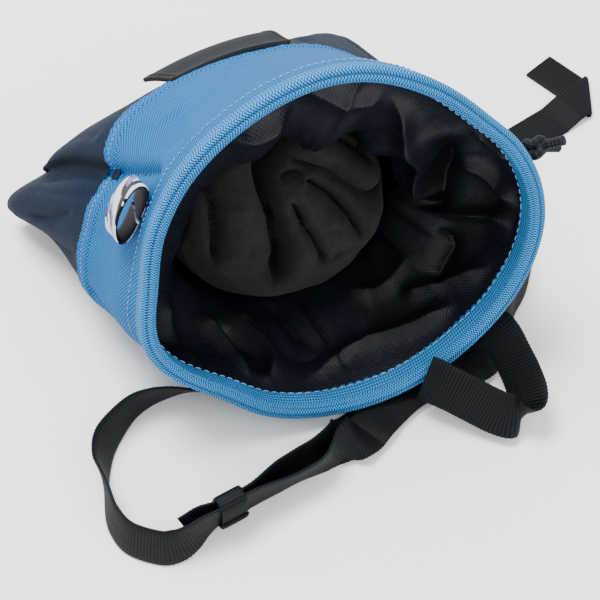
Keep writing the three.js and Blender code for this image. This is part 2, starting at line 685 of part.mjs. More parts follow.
/** The tail's end: the flat band is folded over on the slant and its flap points away from the bag. */
function tailEndRows(last) {
  const out = heading(TAIL_HEADING - 90);
  const flap = heading(TAIL_HEADING - 90 + TAIL_TURN);
  const beyond = out.clone().sub(flap).normalize();
  const crease = out.clone().add(flap).normalize();
  const low = WEBBING_THICKNESS / 2;
  const high = low + WEBBING_THICKNESS + CLEARANCE;
  const radius = (high - low) / 2;
  const corner = last.middle.clone().addScaledVector(out, WEBBING_WIDTH * 1.2);
  const across = crease.multiplyScalar(Math.sign(crease.dot(last.across)));
  const stretch = 1 / Math.abs(out.dot(beyond));
  const rise = last.middle.clone().addScaledVector(out, WEBBING_WIDTH * 0.5).setZ(high);
  const rows = [
    { middle: rise, across: last.across, face: UP },
    { middle: corner.clone().setZ(high), across, stretch, face: UP },
  ];
  for (let i = 1; i < TAIL_FOLD_STEPS; i += 1) {
    const turn = (Math.PI * i) / TAIL_FOLD_STEPS;
    const face = UP.clone().multiplyScalar(Math.cos(turn)).addScaledVector(beyond, Math.sin(turn));
    const middlePoint = corner.clone().setZ(low + radius).addScaledVector(face, radius);
    rows.push({ middle: middlePoint, across, stretch, face });
  }
  const down = UP.clone().negate();
  const flapAcross = new THREE.Vector3().crossVectors(flap, UP);
  rows.push({ middle: corner.clone().setZ(low), across, stretch, face: down });
  for (const share of [0.45, 1]) {
    const point = corner.clone().addScaledVector(flap, share * (WEBBING_WIDTH / 2 + TAIL_FLAP)).setZ(low);
    rows.push({ middle: point, across: flapAcross, face: down });
  }
  return rows;
}

/** Belt: one webbing from its sewn end by the keeper, under the collar, round the loop, to the tail. */
function waistBelt() {
  const rows = beltRows();
  return webbing([...rows, ...tailEndRows(rows.at(-1))], WEBBING_WIDTH, WEBBING_THICKNESS);
}

/** Keeper: a sewn sleeve round both layers of the belt. */
function beltKeeper() {
  const rows = named(BELT_COLUMNS, BELT_ROUTE);
  const plan = (row) => new THREE.Vector3(row.side * BELT_SPREAD, -row.ahead * BELT_REACH, 0);
  const middleOf = (i, j) => plan(rows[i]).add(plan(rows[j])).multiplyScalar(0.5);
  const from = middleOf(KEEPER_ROWS[0] - 1, KEEPER_ROWS[1] - 1);
  const to = middleOf(KEEPER_ROWS[0] + 1, KEEPER_ROWS[1] + 1);
  const ahead = to.clone().sub(from).normalize();
  const left = new THREE.Vector3().crossVectors(UP, ahead);
  const roll = rad(rows[KEEPER_ROWS[0]].roll);
  const across = UP.clone().multiplyScalar(Math.cos(roll)).addScaledVector(left, Math.sin(roll));
  const face = new THREE.Vector3().crossVectors(ahead, across).normalize();
  const centre = middleOf(...KEEPER_ROWS);
  centre.z = (WEBBING_WIDTH / 2) * Math.cos(roll) + KEEPER_WALL + KEEPER_STAND;
  const halfHigh = WEBBING_WIDTH / 2 + CLEARANCE;
  const halfDeep = KEEPER_ROOM / 2;
  const loop = (place, wall) => {
    const outline = [];
    for (const [a, b] of [[-1, -1], [1, -1], [1, 1], [-1, 1]]) {
      outline.push(centre.clone().addScaledVector(ahead, place)
        .addScaledVector(across, a * (halfHigh + wall))
        .addScaledVector(face, b * (halfDeep + wall)));
    }
    return outline;
  };
  const places = [-KEEPER_LENGTH / 2, 0, KEEPER_LENGTH / 2];
  const wrap = (wall) => places.map((place) => loop(place, wall));
  return roundWall(wrap(KEEPER_WALL), wrap(0));
}

/** Loop sewn under the collar, between it and the ground, that carries the belt. */
function beltLoop() {
  const span = BELT_LOOP_SPAN.map((along) => cloth(along, 270).setZ(BELT_LOOP_WALL / 2));
  const { side } = sectionAt(BELT_LOOP_SPAN[0]);
  const rows = [0, 0.5, 1].map((share) => ({
    middle: span[0].clone().lerp(span[1], share), across: side, face: UP,
  }));
  return webbing(rows, BELT_LOOP_WIDTH, BELT_LOOP_WALL);
}

/** Carrying loop: webbing sewn to the binding at the lower right of the mouth. */
function haulLoop() {
  const start = cloth(0, HAUL_ANGLE, HAUL_INSET);
  const out = new THREE.Vector3().crossVectors(sectionAt(0).side, sectionAt(0).rise).normalize();
  start.addScaledVector(out, HAUL_FORWARD);
  const route = named(HAUL_COLUMNS, HAUL_ROUTE);
  const middles = route.map((row) => start.clone().add(
    new THREE.Vector3(row.side, row.back, row.rise).multiplyScalar(HAUL_LOOP_REACH),
  ));
  const widths = route.map((row) => new THREE.Vector3(row.widthSide, row.widthBack, row.widthUp));
  const steps = (route.length - 1) * 2;
  const path = new THREE.CatmullRomCurve3(middles, false, 'catmullrom', 0.5);
  const lean = new THREE.CatmullRomCurve3(widths, false, 'catmullrom', 0.5);
  const rows = [];
  for (let i = 0; i <= steps; i += 1) {
    rows.push({ middle: path.getPoint(i / steps), across: lean.getPoint(i / steps) });
  }
  return webbing(rows, WEBBING_WIDTH, WEBBING_THICKNESS);
}

/** Brush loop: a short strap arched over the collar's left side. */
function brushLoop() {
  const steps = 10;
  const rows = [];
  const front = cloth(BRUSH_LOOP_ALONG - 0.04, BRUSH_LOOP_FROM);
  const behind = cloth(BRUSH_LOOP_ALONG + 0.04, BRUSH_LOOP_FROM);
  const across = behind.sub(front);
  for (let i = 0; i <= steps; i += 1) {
    const share = i / steps;
    const angle = BRUSH_LOOP_FROM + (BRUSH_LOOP_TO - BRUSH_LOOP_FROM) * share;
    const arch = Math.sin(Math.PI * share) ** 0.6;
    const lift = CLEARANCE + BRUSH_LOOP_WALL * 0.75 + BRUSH_LOOP_RISE * arch;
    rows.push({ middle: cloth(BRUSH_LOOP_ALONG, angle, -lift), across });
  }
  return webbing(rows, BRUSH_LOOP_WIDTH, BRUSH_LOOP_WALL);
}

/** Label: a plain patch that follows the front of the body. */
function labelPatch() {
  const columns = 9;
  const lines = 4;
  const middlePoint = cloth(LABEL_ALONG, LABEL_ANGLE);
  const perDegree = cloth(LABEL_ALONG, LABEL_ANGLE - 1).distanceTo(middlePoint);
  const perShare = cloth(LABEL_ALONG + 0.01, LABEL_ANGLE).distanceTo(middlePoint) * 100;
  const sheet = (inset) => Array.from({ length: lines }, (_, i) => Array.from({ length: columns }, (__, j) => {
    const across = (j / (columns - 1) - 0.5) * LABEL_LENGTH;
    const along = (i / (lines - 1) - 0.5) * LABEL_HEIGHT;
    const angle = LABEL_ANGLE + across / perDegree;
    const place = LABEL_ALONG + (along + (across * LABEL_SKEW) / LABEL_LENGTH) / perShare;
    return cloth(place, angle, inset);
  }));
  const lower = sheet(-CLEARANCE * LABEL_STAND);
  const upper = sheet(-CLEARANCE * LABEL_STAND - LABEL_WALL);
  const edge = (grid) => [
    ...grid[0], ...grid.slice(1, -1).map((row) => row.at(-1)),
    ...[...grid.at(-1)].reverse(), ...grid.slice(1, -1).map((row) => row[0]).reverse(),
  ];
  const points = [...lower.flat(), ...upper.flat()];
  const count = lines * columns;
  const at = (i, j) => i * columns + j;
  const faces = [];
  for (let i = 0; i < lines - 1; i += 1) {
    for (let j = 0; j < columns - 1; j += 1) {
      faces.push(...quad(at(i, j), at(i, j + 1), at(i + 1, j + 1), at(i + 1, j)));
      faces.push(...quad(
        count + at(i, j), count + at(i + 1, j), count + at(i + 1, j + 1), count + at(i, j + 1),
      ));
    }
  }
  const number = new Map(points.map((point, i) => [point, i]));
  const low = edge(lower).map((point) => number.get(point));
  const high = edge(upper).map((point) => number.get(point));
  low.forEach((_, k) => {
    const next = (k + 1) % low.length;
    faces.push(...quad(low[k], high[k], high[next], low[next]));
  });
  return solid(points, faces);
}

/** A closed mesh as a solid that can be joined. */
function joinable(geometry) {
  const bare = geometry.clone();
  bare.deleteAttribute('normal');
  bare.deleteAttribute('uv');
  const merged = mergeVertices(bare, 1e-4);
  return new wasm.Manifold(new wasm.Mesh({
    numProp: 3,
    vertProperties: new Float32Array(merged.attributes.position.array),
    triVerts: new Uint32Array(merged.index.array),
  }));
}

/** Knot of the drawcord, with its two short ends. */
function cordKnot() {
  const centre = cloth(KNOT_ALONG, KNOT_ANGLE, -KNOT_RADIUS - KNOT_STAND);
  const lump = new THREE.SphereGeometry(KNOT_RADIUS, 10, 7);
  lump.scale(1, 0.9, 1.1);
  lump.translate(...centre.toArray());
  let knot = joinable(lump);
  for (const [x, y, z] of KNOT_ENDS) {
    const way = new THREE.Vector3(x, y, z).normalize();
    const end = new THREE.CylinderGeometry(CORD_DIAMETER / 2, CORD_DIAMETER / 2, CORD_END_LENGTH, 8);
    end.applyQuaternion(new THREE.Quaternion().setFromUnitVectors(new THREE.Vector3(0, 1, 0), way));
    end.translate(...centre.clone().addScaledVector(way, CORD_END_LENGTH / 2).toArray());
    knot = knot.add(joinable(end));
  }
  const mesh = knot.getMesh();
  const geometry = new THREE.BufferGeometry();
  const places = [];
  for (let i = 0; i < mesh.vertProperties.length; i += mesh.numProp) {
    places.push(...mesh.vertProperties.slice(i, i + 3));
  }
  geometry.setAttribute('position', new THREE.Float32BufferAttribute(places, 3));
  geometry.setIndex([...mesh.triVerts]);
  geometry.computeVertexNormals();
  return geometry;
}

const cloths = {
  blue: { color: 0x4f97c8, roughness: 0.75, metalness: 0 },
  binding: { color: 0x5aa6d8, roughness: 0.7, metalness: 0 },
  navy: { color: 0x16263a, roughness: 0.8, metalness: 0 },
  nylon: { color: 0x12141f, roughness: 0.45, metalness: 0 },
  fleece: { color: 0x30302e, roughness: 1, metalness: 0 },
  webbing: { color: 0x1c2128, roughness: 0.7, metalness: 0 },
  print: { color: 0x17161c, roughness: 0.6, metalness: 0 },
  label: { color: 0x3e4448, roughness: 0.6, metalness: 0 },
  cord: { color: 0x14161a, roughness: 0.7, metalness: 0 },
};

const pieces = [
  ['body_shell', bodyShell, 'navy'],
  ['collar', collar, 'blue'],
  ['rim_binding', rimBinding, 'binding'],
  ['lining_skirt', liningSkirt, 'nylon'],
  ['fleece_lining', fleeceLining, 'fleece'],
  ['label_patch', labelPatch, 'label'],
  ['brush_loop', brushLoop, 'print'],
  ['haul_loop', haulLoop, 'webbing'],
  ['belt_loop', beltLoop, 'webbing'],
  ['waist_belt', waistBelt, 'webbing'],
  ['belt_keeper', beltKeeper, 'webbing'],
  ['drawcord_knot', cordKnot, 'cord'],
];

const group = new THREE.Group();
for (const [name, build, finish] of pieces) {
  const mesh = new THREE.Mesh(build(), new THREE.MeshStandardMaterial(cloths[finish]));
  mesh.name = name;
  group.add(mesh);
}
const box = new THREE.Box3().setFromObject(group);
const centre = box.getCenter(new THREE.Vector3());
group.position.set(-centre.x, -centre.y, -box.min.z);

export default group;
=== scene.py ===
"""Dresses a climbing chalk bag that lies on its back: woven cloth, bound rim, nylon, fleece and webbing.

Lengths in the classes are millimetres in the bag's own frame, whose origin is on the ground under the
lowest point of the mouth. They become metres of the shared frame when a mesh is made.
"""
import logging
import math
from dataclasses import dataclass
from enum import Enum
from typing import Optional, Sequence

import bpy
import numpy as np
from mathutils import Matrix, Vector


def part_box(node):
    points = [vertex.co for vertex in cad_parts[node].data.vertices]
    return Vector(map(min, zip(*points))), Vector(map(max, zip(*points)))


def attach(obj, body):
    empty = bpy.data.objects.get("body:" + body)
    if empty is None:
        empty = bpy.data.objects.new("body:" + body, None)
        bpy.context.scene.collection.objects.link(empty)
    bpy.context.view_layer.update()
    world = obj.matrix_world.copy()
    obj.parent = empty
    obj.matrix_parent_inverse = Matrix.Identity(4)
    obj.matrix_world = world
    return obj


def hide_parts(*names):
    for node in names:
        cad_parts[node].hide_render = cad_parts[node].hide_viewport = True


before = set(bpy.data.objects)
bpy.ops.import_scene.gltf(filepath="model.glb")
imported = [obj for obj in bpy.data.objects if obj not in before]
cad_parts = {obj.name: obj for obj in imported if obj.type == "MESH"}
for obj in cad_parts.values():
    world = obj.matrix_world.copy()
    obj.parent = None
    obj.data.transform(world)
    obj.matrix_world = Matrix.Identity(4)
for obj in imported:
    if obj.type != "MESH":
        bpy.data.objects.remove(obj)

MM = 0.001
TURN = 2 * math.pi
CLOTH_ROUND = 400.0
CLOTH_LONG = 124.0
CLOTH_RADIUS = 62.0
CLOTH_REACH = 120.0
WRINKLES = ((0.55, (24, 24, 24), 7, 1), (0.28, (9, 9, 28), 8, 2))
logger = logging.getLogger("chalk_bag")
Line = Sequence[tuple[float, float]]


class Pattern(Enum):
    """Ways in which a cloth's threads lie."""

    BASKET = "basket"
    KNIT = "knit"
    NET = "net"
    RIB = "rib"
    BRAID = "braid"
    NAP = "nap"
    SHARDS = "shards"
    COAT = "coat"


@dataclass(frozen=True)
class Finish:
    """Look of a cloth: colours between and on its threads (painted shade and painted highlight for woven
    patterns), thread pitch and relief in millimetres, and the reach of painted shade in its folds.
    """

    name: str
    slot: str
    pattern: Pattern
    # low and high: for woven patterns, painted shade between the threads and painted highlight on them; for
    # nap and coat, uneven tone; for shards, print colours.
    low: tuple[int, int, int]
    high: tuple[int, int, int]
    pitch: float
    relief: float
    roughness: float
    sheen: float = 0.0
    gloss: float = 0.3
    mottle: float = 0.25
    mottle_size: float = 14.0
    # Reach in millimetres of the painted shade darkened into folds by ambient occlusion; 0 for none.
    painted_shade_reach: float = 0.0


BLUE = Finish("blue_weave", "blue_cloth", Pattern.BASKET, (0, 36, 84), (50, 130, 194),
              pitch=1.6, relief=0.3, roughness=0.75, sheen=0.0, gloss=0.06, mottle=0.12)
NAVY = Finish("navy_weave", "navy_cloth", Pattern.BASKET, (0, 1, 5), (26, 44, 66),
              pitch=1.6, relief=0.26, roughness=0.7, sheen=0.0, gloss=0.06, mottle=0.12)
PIPING = Finish("rim_knit", "binding_tape", Pattern.KNIT, (0, 56, 116), (78, 166, 230),
                pitch=0.95, relief=0.3, roughness=0.6, sheen=0.0, gloss=0.08, mottle=0.1)
TAPE = Finish("rim_tape", "binding_tape", Pattern.NET, (0, 44, 96), (64, 150, 214),
              pitch=1.0, relief=0.26, roughness=0.65, sheen=0.0, gloss=0.08, mottle=0.12)
NYLON = Finish("nylon_weave", "nylon", Pattern.BASKET, (1, 1, 3), (28, 31, 44),
               pitch=1.05, relief=0.1, roughness=0.4, sheen=0.0,
               gloss=0.22, mottle=0.15, mottle_size=14.0, painted_shade_reach=10.0)
FLEECE = Finish("fleece_nap", "fleece", Pattern.NAP, (20, 20, 20), (54, 54, 54),
                pitch=0.6, relief=0.4, roughness=1.0, sheen=0.06,
                gloss=0.0, mottle=0.2, mottle_size=7.0, painted_shade_reach=14.0)
WEBBING = Finish("webbing_rib", "webbing", Pattern.RIB, (0, 1, 3), (22, 26, 33),
                 pitch=0.62, relief=0.12, roughness=0.6, sheen=0.0, gloss=0.12, mottle=0.1)
PRINT = Finish("print_shards", "print_tape", Pattern.SHARDS, (10, 10, 16), (222, 220, 236),
               pitch=3.4, relief=0.05, roughness=0.5, sheen=0.0, gloss=0.1)
PRINT_BACK = Finish("print_back", "print_tape", Pattern.BASKET, (5, 6, 9), (22, 24, 30),
                    pitch=0.8, relief=0.08, roughness=0.6, sheen=0.0, gloss=0.1)
LABEL = Finish("label_coat", "label", Pattern.COAT, (22, 26, 30), (38, 43, 48),
               pitch=0.5, relief=0.06, roughness=0.7, sheen=0.0, gloss=0.08)
LABEL_EDGE = Finish("label_edge", "label", Pattern.COAT, (34, 31, 29), (56, 51, 48),
                    pitch=0.5, relief=0.08, roughness=0.7, sheen=0.0, gloss=0.08)
CORD = Finish("cord_braid", "cord", Pattern.BRAID, (4, 5, 7), (34, 37, 44),
              pitch=1.3, relief=0.25, roughness=0.6, sheen=0.0, gloss=0.15)
BLUE_THREAD = Finish("blue_thread", "blue_cloth", Pattern.BRAID, (60, 140, 200), (140, 200, 240),
                     pitch=0.5, relief=0.05, roughness=0.5)
DARK_THREAD = Finish("dark_thread", "webbing", Pattern.BRAID, (6, 8, 11), (30, 34, 40),
                     pitch=0.5, relief=0.05, roughness=0.5, sheen=0.0, gloss=0.1)


def table(*rows: tuple[float, ...]) -> np.ndarray:
    """Rows of numbers as an array."""
    return np.array(rows, dtype=float)


def smooth(x: np.ndarray, low: float, high: float) -> np.ndarray:
    """Smooth step from 0 at low to 1 at high."""
    t = np.clip((x - low) / (high - low), 0.0, 1.0)
    return t * t * (3 - 2 * t)


def curve(rows: np.ndarray, x: np.ndarray, column: int = 1) -> np.ndarray:
    """Reads a smooth curve through a table.

    Args:
        rows: Table whose first column rises.
        x: Places to read.
        column: Column to read.

    Returns:
        Values, clamped at both ends of the table.
    """
    keys, values = rows[:, 0], rows[:, column]
    last = len(keys) - 1
    x = np.clip(x, keys[0], keys[-1])
    i = np.clip(np.searchsorted(keys, x, side="left") - 1, 0, last - 1)
    span = keys[i + 1] - keys[i]
    s = (x - keys[i]) / span

    def slope(k: np.ndarray) -> np.ndarray:
        a, b = np.maximum(k - 1, 0), np.minimum(k + 1, last)
        return (values[b] - values[a]) / (keys[b] - keys[a]) * span

    h = s * s * (3 - 2 * s)
    ease = s * (1 - s) ** 2 * slope(i) - s * s * (1 - s) * slope(i + 1)
    return values[i] * (1 - h) + values[i + 1] * h + ease


def round_curve(rows: np.ndarray, angle: np.ndarray, column: int = 1) -> np.ndarray:
    """Reads a table that goes round in degrees."""
    before, after = rows[-2:].copy(), rows[:2].copy()
    before[:, 0] -= 360
    after[:, 0] += 360
    return curve(np.vstack([before, rows, after]), np.mod(angle, 360), column)


def turn_between(angle: np.ndarray, other: float) -> np.ndarray:
    """Signed difference of angles in degrees."""
    return np.mod(angle - other + 540, 360) - 180


def heading(degrees: np.ndarray) -> np.ndarray:
    """Direction on the ground, turned to the left of straight back."""
    r = np.radians(degrees)
    return np.stack([-np.sin(r), np.cos(r), np.zeros_like(r)], -1)


def spline(points: np.ndarray, count: int) -> np.ndarray:
    """Points along a smooth curve through the given ones."""
    points = np.asarray(points, dtype=float)
    p = np.vstack([2 * points[0] - points[1], points, 2 * points[-1] - points[-2]])
    x = np.linspace(0, len(points) - 1, count)
    i = np.minimum(x.astype(int), len(points) - 2)
    t = (x - i)[:, None]
    a, b, c, d = p[i], p[i + 1], p[i + 2], p[i + 3]
    return 0.5 * (2 * b + (c - a) * t + (2 * a - 5 * b + 4 * c - d) * t**2 + (3 * b - a - 3 * c + d) * t**3)


def noise(points: np.ndarray, size: Sequence[float] | float, seed: int, octaves: int = 1) -> np.ndarray:
    """Smooth seeded noise from -1 to 1.

    Args:
        points: Places, with three numbers each.
        size: Size of the features, for all directions or for each.
        seed: Chooses the pattern.
        octaves: How many times finer noise is added.

    Returns:
        One number for each place.
    """
    values = np.random.default_rng(seed).uniform(-1, 1, 4096)
    total = np.zeros(points.shape[:-1])
    for octave in range(octaves):
        p = points / np.asarray(size) * 2**octave + 31.7 * octave
        base = np.floor(p).astype(np.int64)
        f = p - base
        w = f * f * (3 - 2 * f)
        part = np.zeros_like(total)
        for corner in range(8):
            step = np.array([corner & 1, corner >> 1 & 1, corner >> 2 & 1])
            cell = base + step
            index = (cell[..., 0] * 73856093 ^ cell[..., 1] * 19349663 ^ cell[..., 2] * 83492791) & 4095
            part += np.prod(np.where(step == 1, w, 1 - w), axis=-1) * values[index]
        total += part / 2**octave
    return total


def unit(vectors: np.ndarray) -> np.ndarray:
    """Vectors scaled to length 1."""
    return vectors / np.maximum(np.linalg.norm(vectors, axis=-1, keepdims=True), 1e-9)


def tangents(points: np.ndarray, closed: bool) -> tuple[np.ndarray, np.ndarray]:
    """Unit directions along the columns and the rows of a grid."""
    down = unit(np.gradient(points, axis=0))
    if not closed:
        return unit(np.gradient(points, axis=1)), down
    ring = points[:, :-1]
    across = np.roll(ring, -1, axis=1) - np.roll(ring, 1, axis=1)
    return unit(np.concatenate([across, across[:, :1]], axis=1)), down


def raised(points: np.ndarray, height: np.ndarray) -> np.ndarray:
    """A grid round the bag with each point moved outwards along the surface's normal."""
    across, down = tangents(points, True)
    return points + unit(np.cross(down, across)) * height[..., None]


@dataclass
class Near:
    """Nearest places on a line: distance, side, share of the line and direction away from it."""

    gap: np.ndarray
    side: np.ndarray
    share: np.ndarray
    away_x: np.ndarray
    away_y: np.ndarray

    @classmethod
    def to(cls, x: np.ndarray, y: np.ndarray, line: Line) -> "Near":
        """Finds the nearest places on a smooth curve through the line's points."""
        found = cls(np.full(x.shape, np.inf), *(np.zeros(x.shape) for _ in range(4)))
        points = spline(np.array(line), 8 * len(line))
        for k, ((x0, y0), (x1, y1)) in enumerate(zip(points[:-1], points[1:])):
            dx, dy = x1 - x0, y1 - y0
            s = np.clip(((x - x0) * dx + (y - y0) * dy) / (dx * dx + dy * dy), 0, 1)
            gx, gy = x - x0 - dx * s, y - y0 - dy * s
            gap = np.hypot(gx, gy)
            closer = gap < found.gap
            found.gap = np.where(closer, gap, found.gap)
            found.side = np.where(closer, np.sign(dx * gy - dy * gx), found.side)
            found.share = np.where(closer, (k + s) / (len(points) - 1), found.share)
            found.away_x = np.where(closer, gx / np.maximum(gap, 1e-9), found.away_x)
            found.away_y = np.where(closer, gy / np.maximum(gap, 1e-9), found.away_y)
        return found


@dataclass(frozen=True)
class Crease:
    """A fold of cloth along a line.

    Attributes:
        line: Points that the fold follows.
        width: Half width of the fold, or of the rolls beside it.
        depth: Depth of the fold, negative for a ridge.
        lean: How far the cloth on one side leans over the fold.
        step: How much higher that side lies.
        roll: The cloth beside the fold is rounded like a roll.
        taper: Share of the line over which each end fades.
    """

    line: Line
    width: float
    depth: float
    lean: float = 0.0
    step: float = 0.0
    roll: bool = False
    taper: float = 0.2

    def shape(self, x: np.ndarray, y: np.ndarray) -> tuple[np.ndarray, np.ndarray, np.ndarray]:
        """Works out the fold.

        Args:
            x: First coordinate of the places.
            y: Second coordinate of the places.

        Returns:
            Height (negative in the fold) and the two sideways moves.
        """
        near = Near.to(x, y, self.line)
        ends = smooth(near.share, 0.0, self.taper) * (1 - smooth(near.share, 1 - self.taper, 1.0))
        gap = near.gap / self.width
        if self.roll:
            height = -self.depth * (1 - np.sqrt(1 - (1 - np.clip(gap, 0, 1)) ** 2))
        else:
            height = -self.depth * np.exp(-(gap**1.4))
        over = near.side > 0
        height = height + self.step * over * np.exp(-gap)
        push = -self.lean * np.exp(-gap) * over * ends
        return height * ends, near.away_x * push, near.away_y * push


def folded(x: np.ndarray, y: np.ndarray, creases: Sequence[Crease]) -> tuple[np.ndarray, ...]:
    """Sum of several folds: height and the two sideways moves."""
    parts = [crease.shape(x, y) for crease in creases]
    return tuple(np.sum([part[k] for part in parts], axis=0) for k in range(3))


@dataclass(frozen=True)
class BagSizes:
    """Main sizes of the bag."""

    mouth: float = 125.0
    reach: float = 119.8
    foot_width: float = 145.0
    foot_thickness: float = 24.2
    foot_bulge: float = 3.0
    lean: float = 16.0
    mouth_heading: float = 16.0
    middle_heading: float = 29.5
    arrive_heading: float = 32.0
    leave_share: float = 0.35
    arrive_share: float = 0.334
    foot_heading: float = 34.5
    squash: float = 1.5
    stand: float = 3.7
    rim_stretch: float = 1.05
    shell: float = 2.0
    skirt: float = 1.4
    gap: float = 0.35
    tape: float = 1.2
    outer_leg: float = 4.5
    inner_leg: float = 11.0
    shoulder: float = 1.4
    crown: float = 2.1
    skirt_depth: float = 45.0
    fleece_radius: float = 37.0
    fleece_depth: float = 41.0
    fleece_drop: float = 9.0
    fleece_tuck: float = 22.0
    fleece_slope: float = 7.0
    fleece_crown: float = 0.16


class BagForm:
    """Shape of the bag's cloth, skirt and fleece as functions of the place along and the angle round it."""

    SECTIONS = table(
        (0.00, 0.00, 0.000, 2.00, 0.00), (0.18, 0.00, 0.118, 2.00, 0.16), (0.38, 0.13, 0.249, 2.00, 0.43),
        (0.60, 0.43, 0.449, 2.10, 0.68), (0.80, 0.78, 0.683, 2.15, 0.86), (0.93, 1.02, 0.867, 2.15, 0.97),
        (1.00, 0.98, 1.000, 2.20, 1.00),
    )
    MOUTH = table(
        (0, 1.020), (25, 0.996), (42, 0.966), (62, 0.988), (88, 1.028), (120, 0.994), (155, 0.985),
        (175, 0.976), (197, 1.028), (224, 0.972), (243, 1.008), (272, 1.000), (308, 0.982), (335, 1.002),
    )
    FOLDS = table(
        (0.90, 150, 0.45, 8, 0.150), (0.75, 130, 0.40, 14, -0.016), (0.40, 204, 0.30, 26, -0.165),
        (0.16, 196, 0.12, 22, -0.049), (0.50, 38, 0.35, 30, 0.130), (0.98, 35, 0.30, 26, -0.050),
    )
    CHANNEL = table((0.0, 1.0), (0.27, 1.0), (0.35, 0.45), (0.42, 0.0))
    SEAM = table(
        (0, 0.44), (40, 0.46), (70, 0.52), (95, 0.57), (125, 0.56), (140, 0.51), (160, 0.46), (185, 0.45),
        (205, 0.47), (235, 0.45), (280, 0.43), (320, 0.43),
    )
    SKIRT = table(
        (0, 0.60, 0.90), (25, 0.51, 0.84), (50, 0.43, 0.80), (78, 0.37, 0.78), (100, 0.38, 0.80),
        (125, 0.47, 0.84), (155, 0.52, 0.92), (185, 0.60, 1.00), (210, 0.72, 1.08), (240, 0.76, 1.12),
        (270, 0.70, 1.14), (300, 0.72, 1.10), (330, 0.68, 0.96),
    )
    PLEATS = table(
        (8, 7, 0.060), (30, 7, -0.070), (50, 8, 0.060), (72, 8, -0.060), (96, 8, 0.060), (118, 9, -0.050),
        (145, 9, 0.050), (205, 10, 0.035), (318, 9, -0.045), (342, 8, 0.050),
    )

    def __init__(self, sizes: BagSizes) -> None:
        self.sizes = sizes
        self.radius = sizes.mouth / 2 - sizes.tape - sizes.gap
        self.lean = math.radians(sizes.lean)
        self.base = heading(sizes.mouth_heading) * math.sin(self.lean) * sizes.mouth / 2
        places = np.linspace(0, 1, 400)
        depths = (self.middle(places) - self.base) @ heading(sizes.mouth_heading) * math.cos(self.lean)
        self.depths, self.places = depths, places

    def middle(self, along: np.ndarray) -> np.ndarray:
        """Middle of a section on the ground plan."""
        z = self.sizes
        t = np.asarray(along, dtype=float)[..., None]
        end = self.base + heading(z.middle_heading) * z.reach
        leave = self.base + heading(z.mouth_heading) * z.reach * z.leave_share
        arrive = end - heading(z.arrive_heading) * z.reach * z.arrive_share
        u = np.clip(t, 0, 1)
        inside = (1 - u) ** 3 * self.base + 3 * (1 - u) ** 2 * u * leave
        inside = inside + 3 * (1 - u) * u * u * arrive + u**3 * end
        return np.where(t < 0, self.base + heading(z.mouth_heading) * z.rim_stretch * t * z.reach, inside)

    def section(self, along: np.ndarray) -> tuple[np.ndarray, np.ndarray, np.ndarray]:
        """Middle, sideways and upward directions of a section."""
        z = self.sizes
        along = np.asarray(along, dtype=float)
        t = np.maximum(along, 0)
        turn = z.mouth_heading + (z.foot_heading - z.mouth_heading) * curve(self.SECTIONS, t, 4)
        back = heading(turn)
        side = np.stack([back[..., 1], -back[..., 0], 0 * back[..., 0]], -1)
        rise = np.array([0, 0, math.cos(self.lean)]) + back * math.sin(self.lean)
        settle = smooth(t, 0, 0.4)
        stand = (z.stand + z.mouth / 2 - self.radius) * (1 - settle) - z.squash * settle
        centre = self.middle(along).copy()
        before = np.minimum(along, 0) * z.rim_stretch * z.reach * math.tan(self.lean)
        centre[..., 2] = self.half_height(t) * math.cos(self.lean) + stand - before
        return centre, side, rise

    def half_height(self, along: np.ndarray) -> np.ndarray:
        """Half the height of a section."""
        return self.radius + (self.sizes.foot_thickness / 2 - self.radius) * curve(self.SECTIONS, along, 2)

    def outline(self, along: np.ndarray, angle: np.ndarray) -> tuple[np.ndarray, np.ndarray]:
        """Place of the cloth in its section, sideways and upwards."""
        t = np.maximum(along, 0)
        half_width = self.radius + (self.sizes.foot_width / 2 - self.radius) * curve(self.SECTIONS, t, 1)
        power = curve(self.SECTIONS, t, 3)
        c, s = np.cos(np.radians(angle)), np.sin(np.radians(angle))
        edge = 1 / (np.abs(c) ** power + np.abs(s) ** power) ** (1 / power)
        x, y = half_width * edge * c, self.half_height(t) * edge * s
        depth = 0.0
        for place, at, spread, wide, amount in self.FOLDS:
            turn = turn_between(angle, at) / wide
            depth = depth + amount * self.radius * np.exp(-(((along - place) / spread) ** 2) - turn**2)
        fade = 1 - smooth(along, 0, 0.5)
        gain = 1 + (round_curve(self.MOUTH, angle) - 1) * fade - depth / np.hypot(x, y)
        return x * gain, y * gain

    def cloth(self, along: np.ndarray, angle: np.ndarray, inset: np.ndarray = 0.0) -> np.ndarray:
        """Points of the cloth, drawn in by inset and kept above the belt and the ground."""
        numbers = (np.asarray(value, dtype=float) for value in (along, angle, inset))
        along, angle, inset = np.broadcast_arrays(*numbers)
        x, y = self.outline(along, angle)
        centre, side, rise = self.section(along)
        k = 1 - inset / np.hypot(x, y)
        points = centre + side * (x * k)[..., None] + rise * (y * k)[..., None]
        floor = curve(self.CHANNEL, along) * self.sizes.stand + np.maximum(inset, 0)
        points[..., 2] = np.maximum(points[..., 2], floor)
        return points

    def along_at(self, depth: np.ndarray) -> np.ndarray:
        """Place along the bag at a depth below the mouth's plane."""
        return np.interp(depth, self.depths, self.places)

    def skirt_end(self, angle: np.ndarray) -> np.ndarray:
        """Place along the bag where the skirt's inner edge lies."""
        return self.along_at(self.sizes.skirt_depth) * round_curve(self.SKIRT, angle, 2)

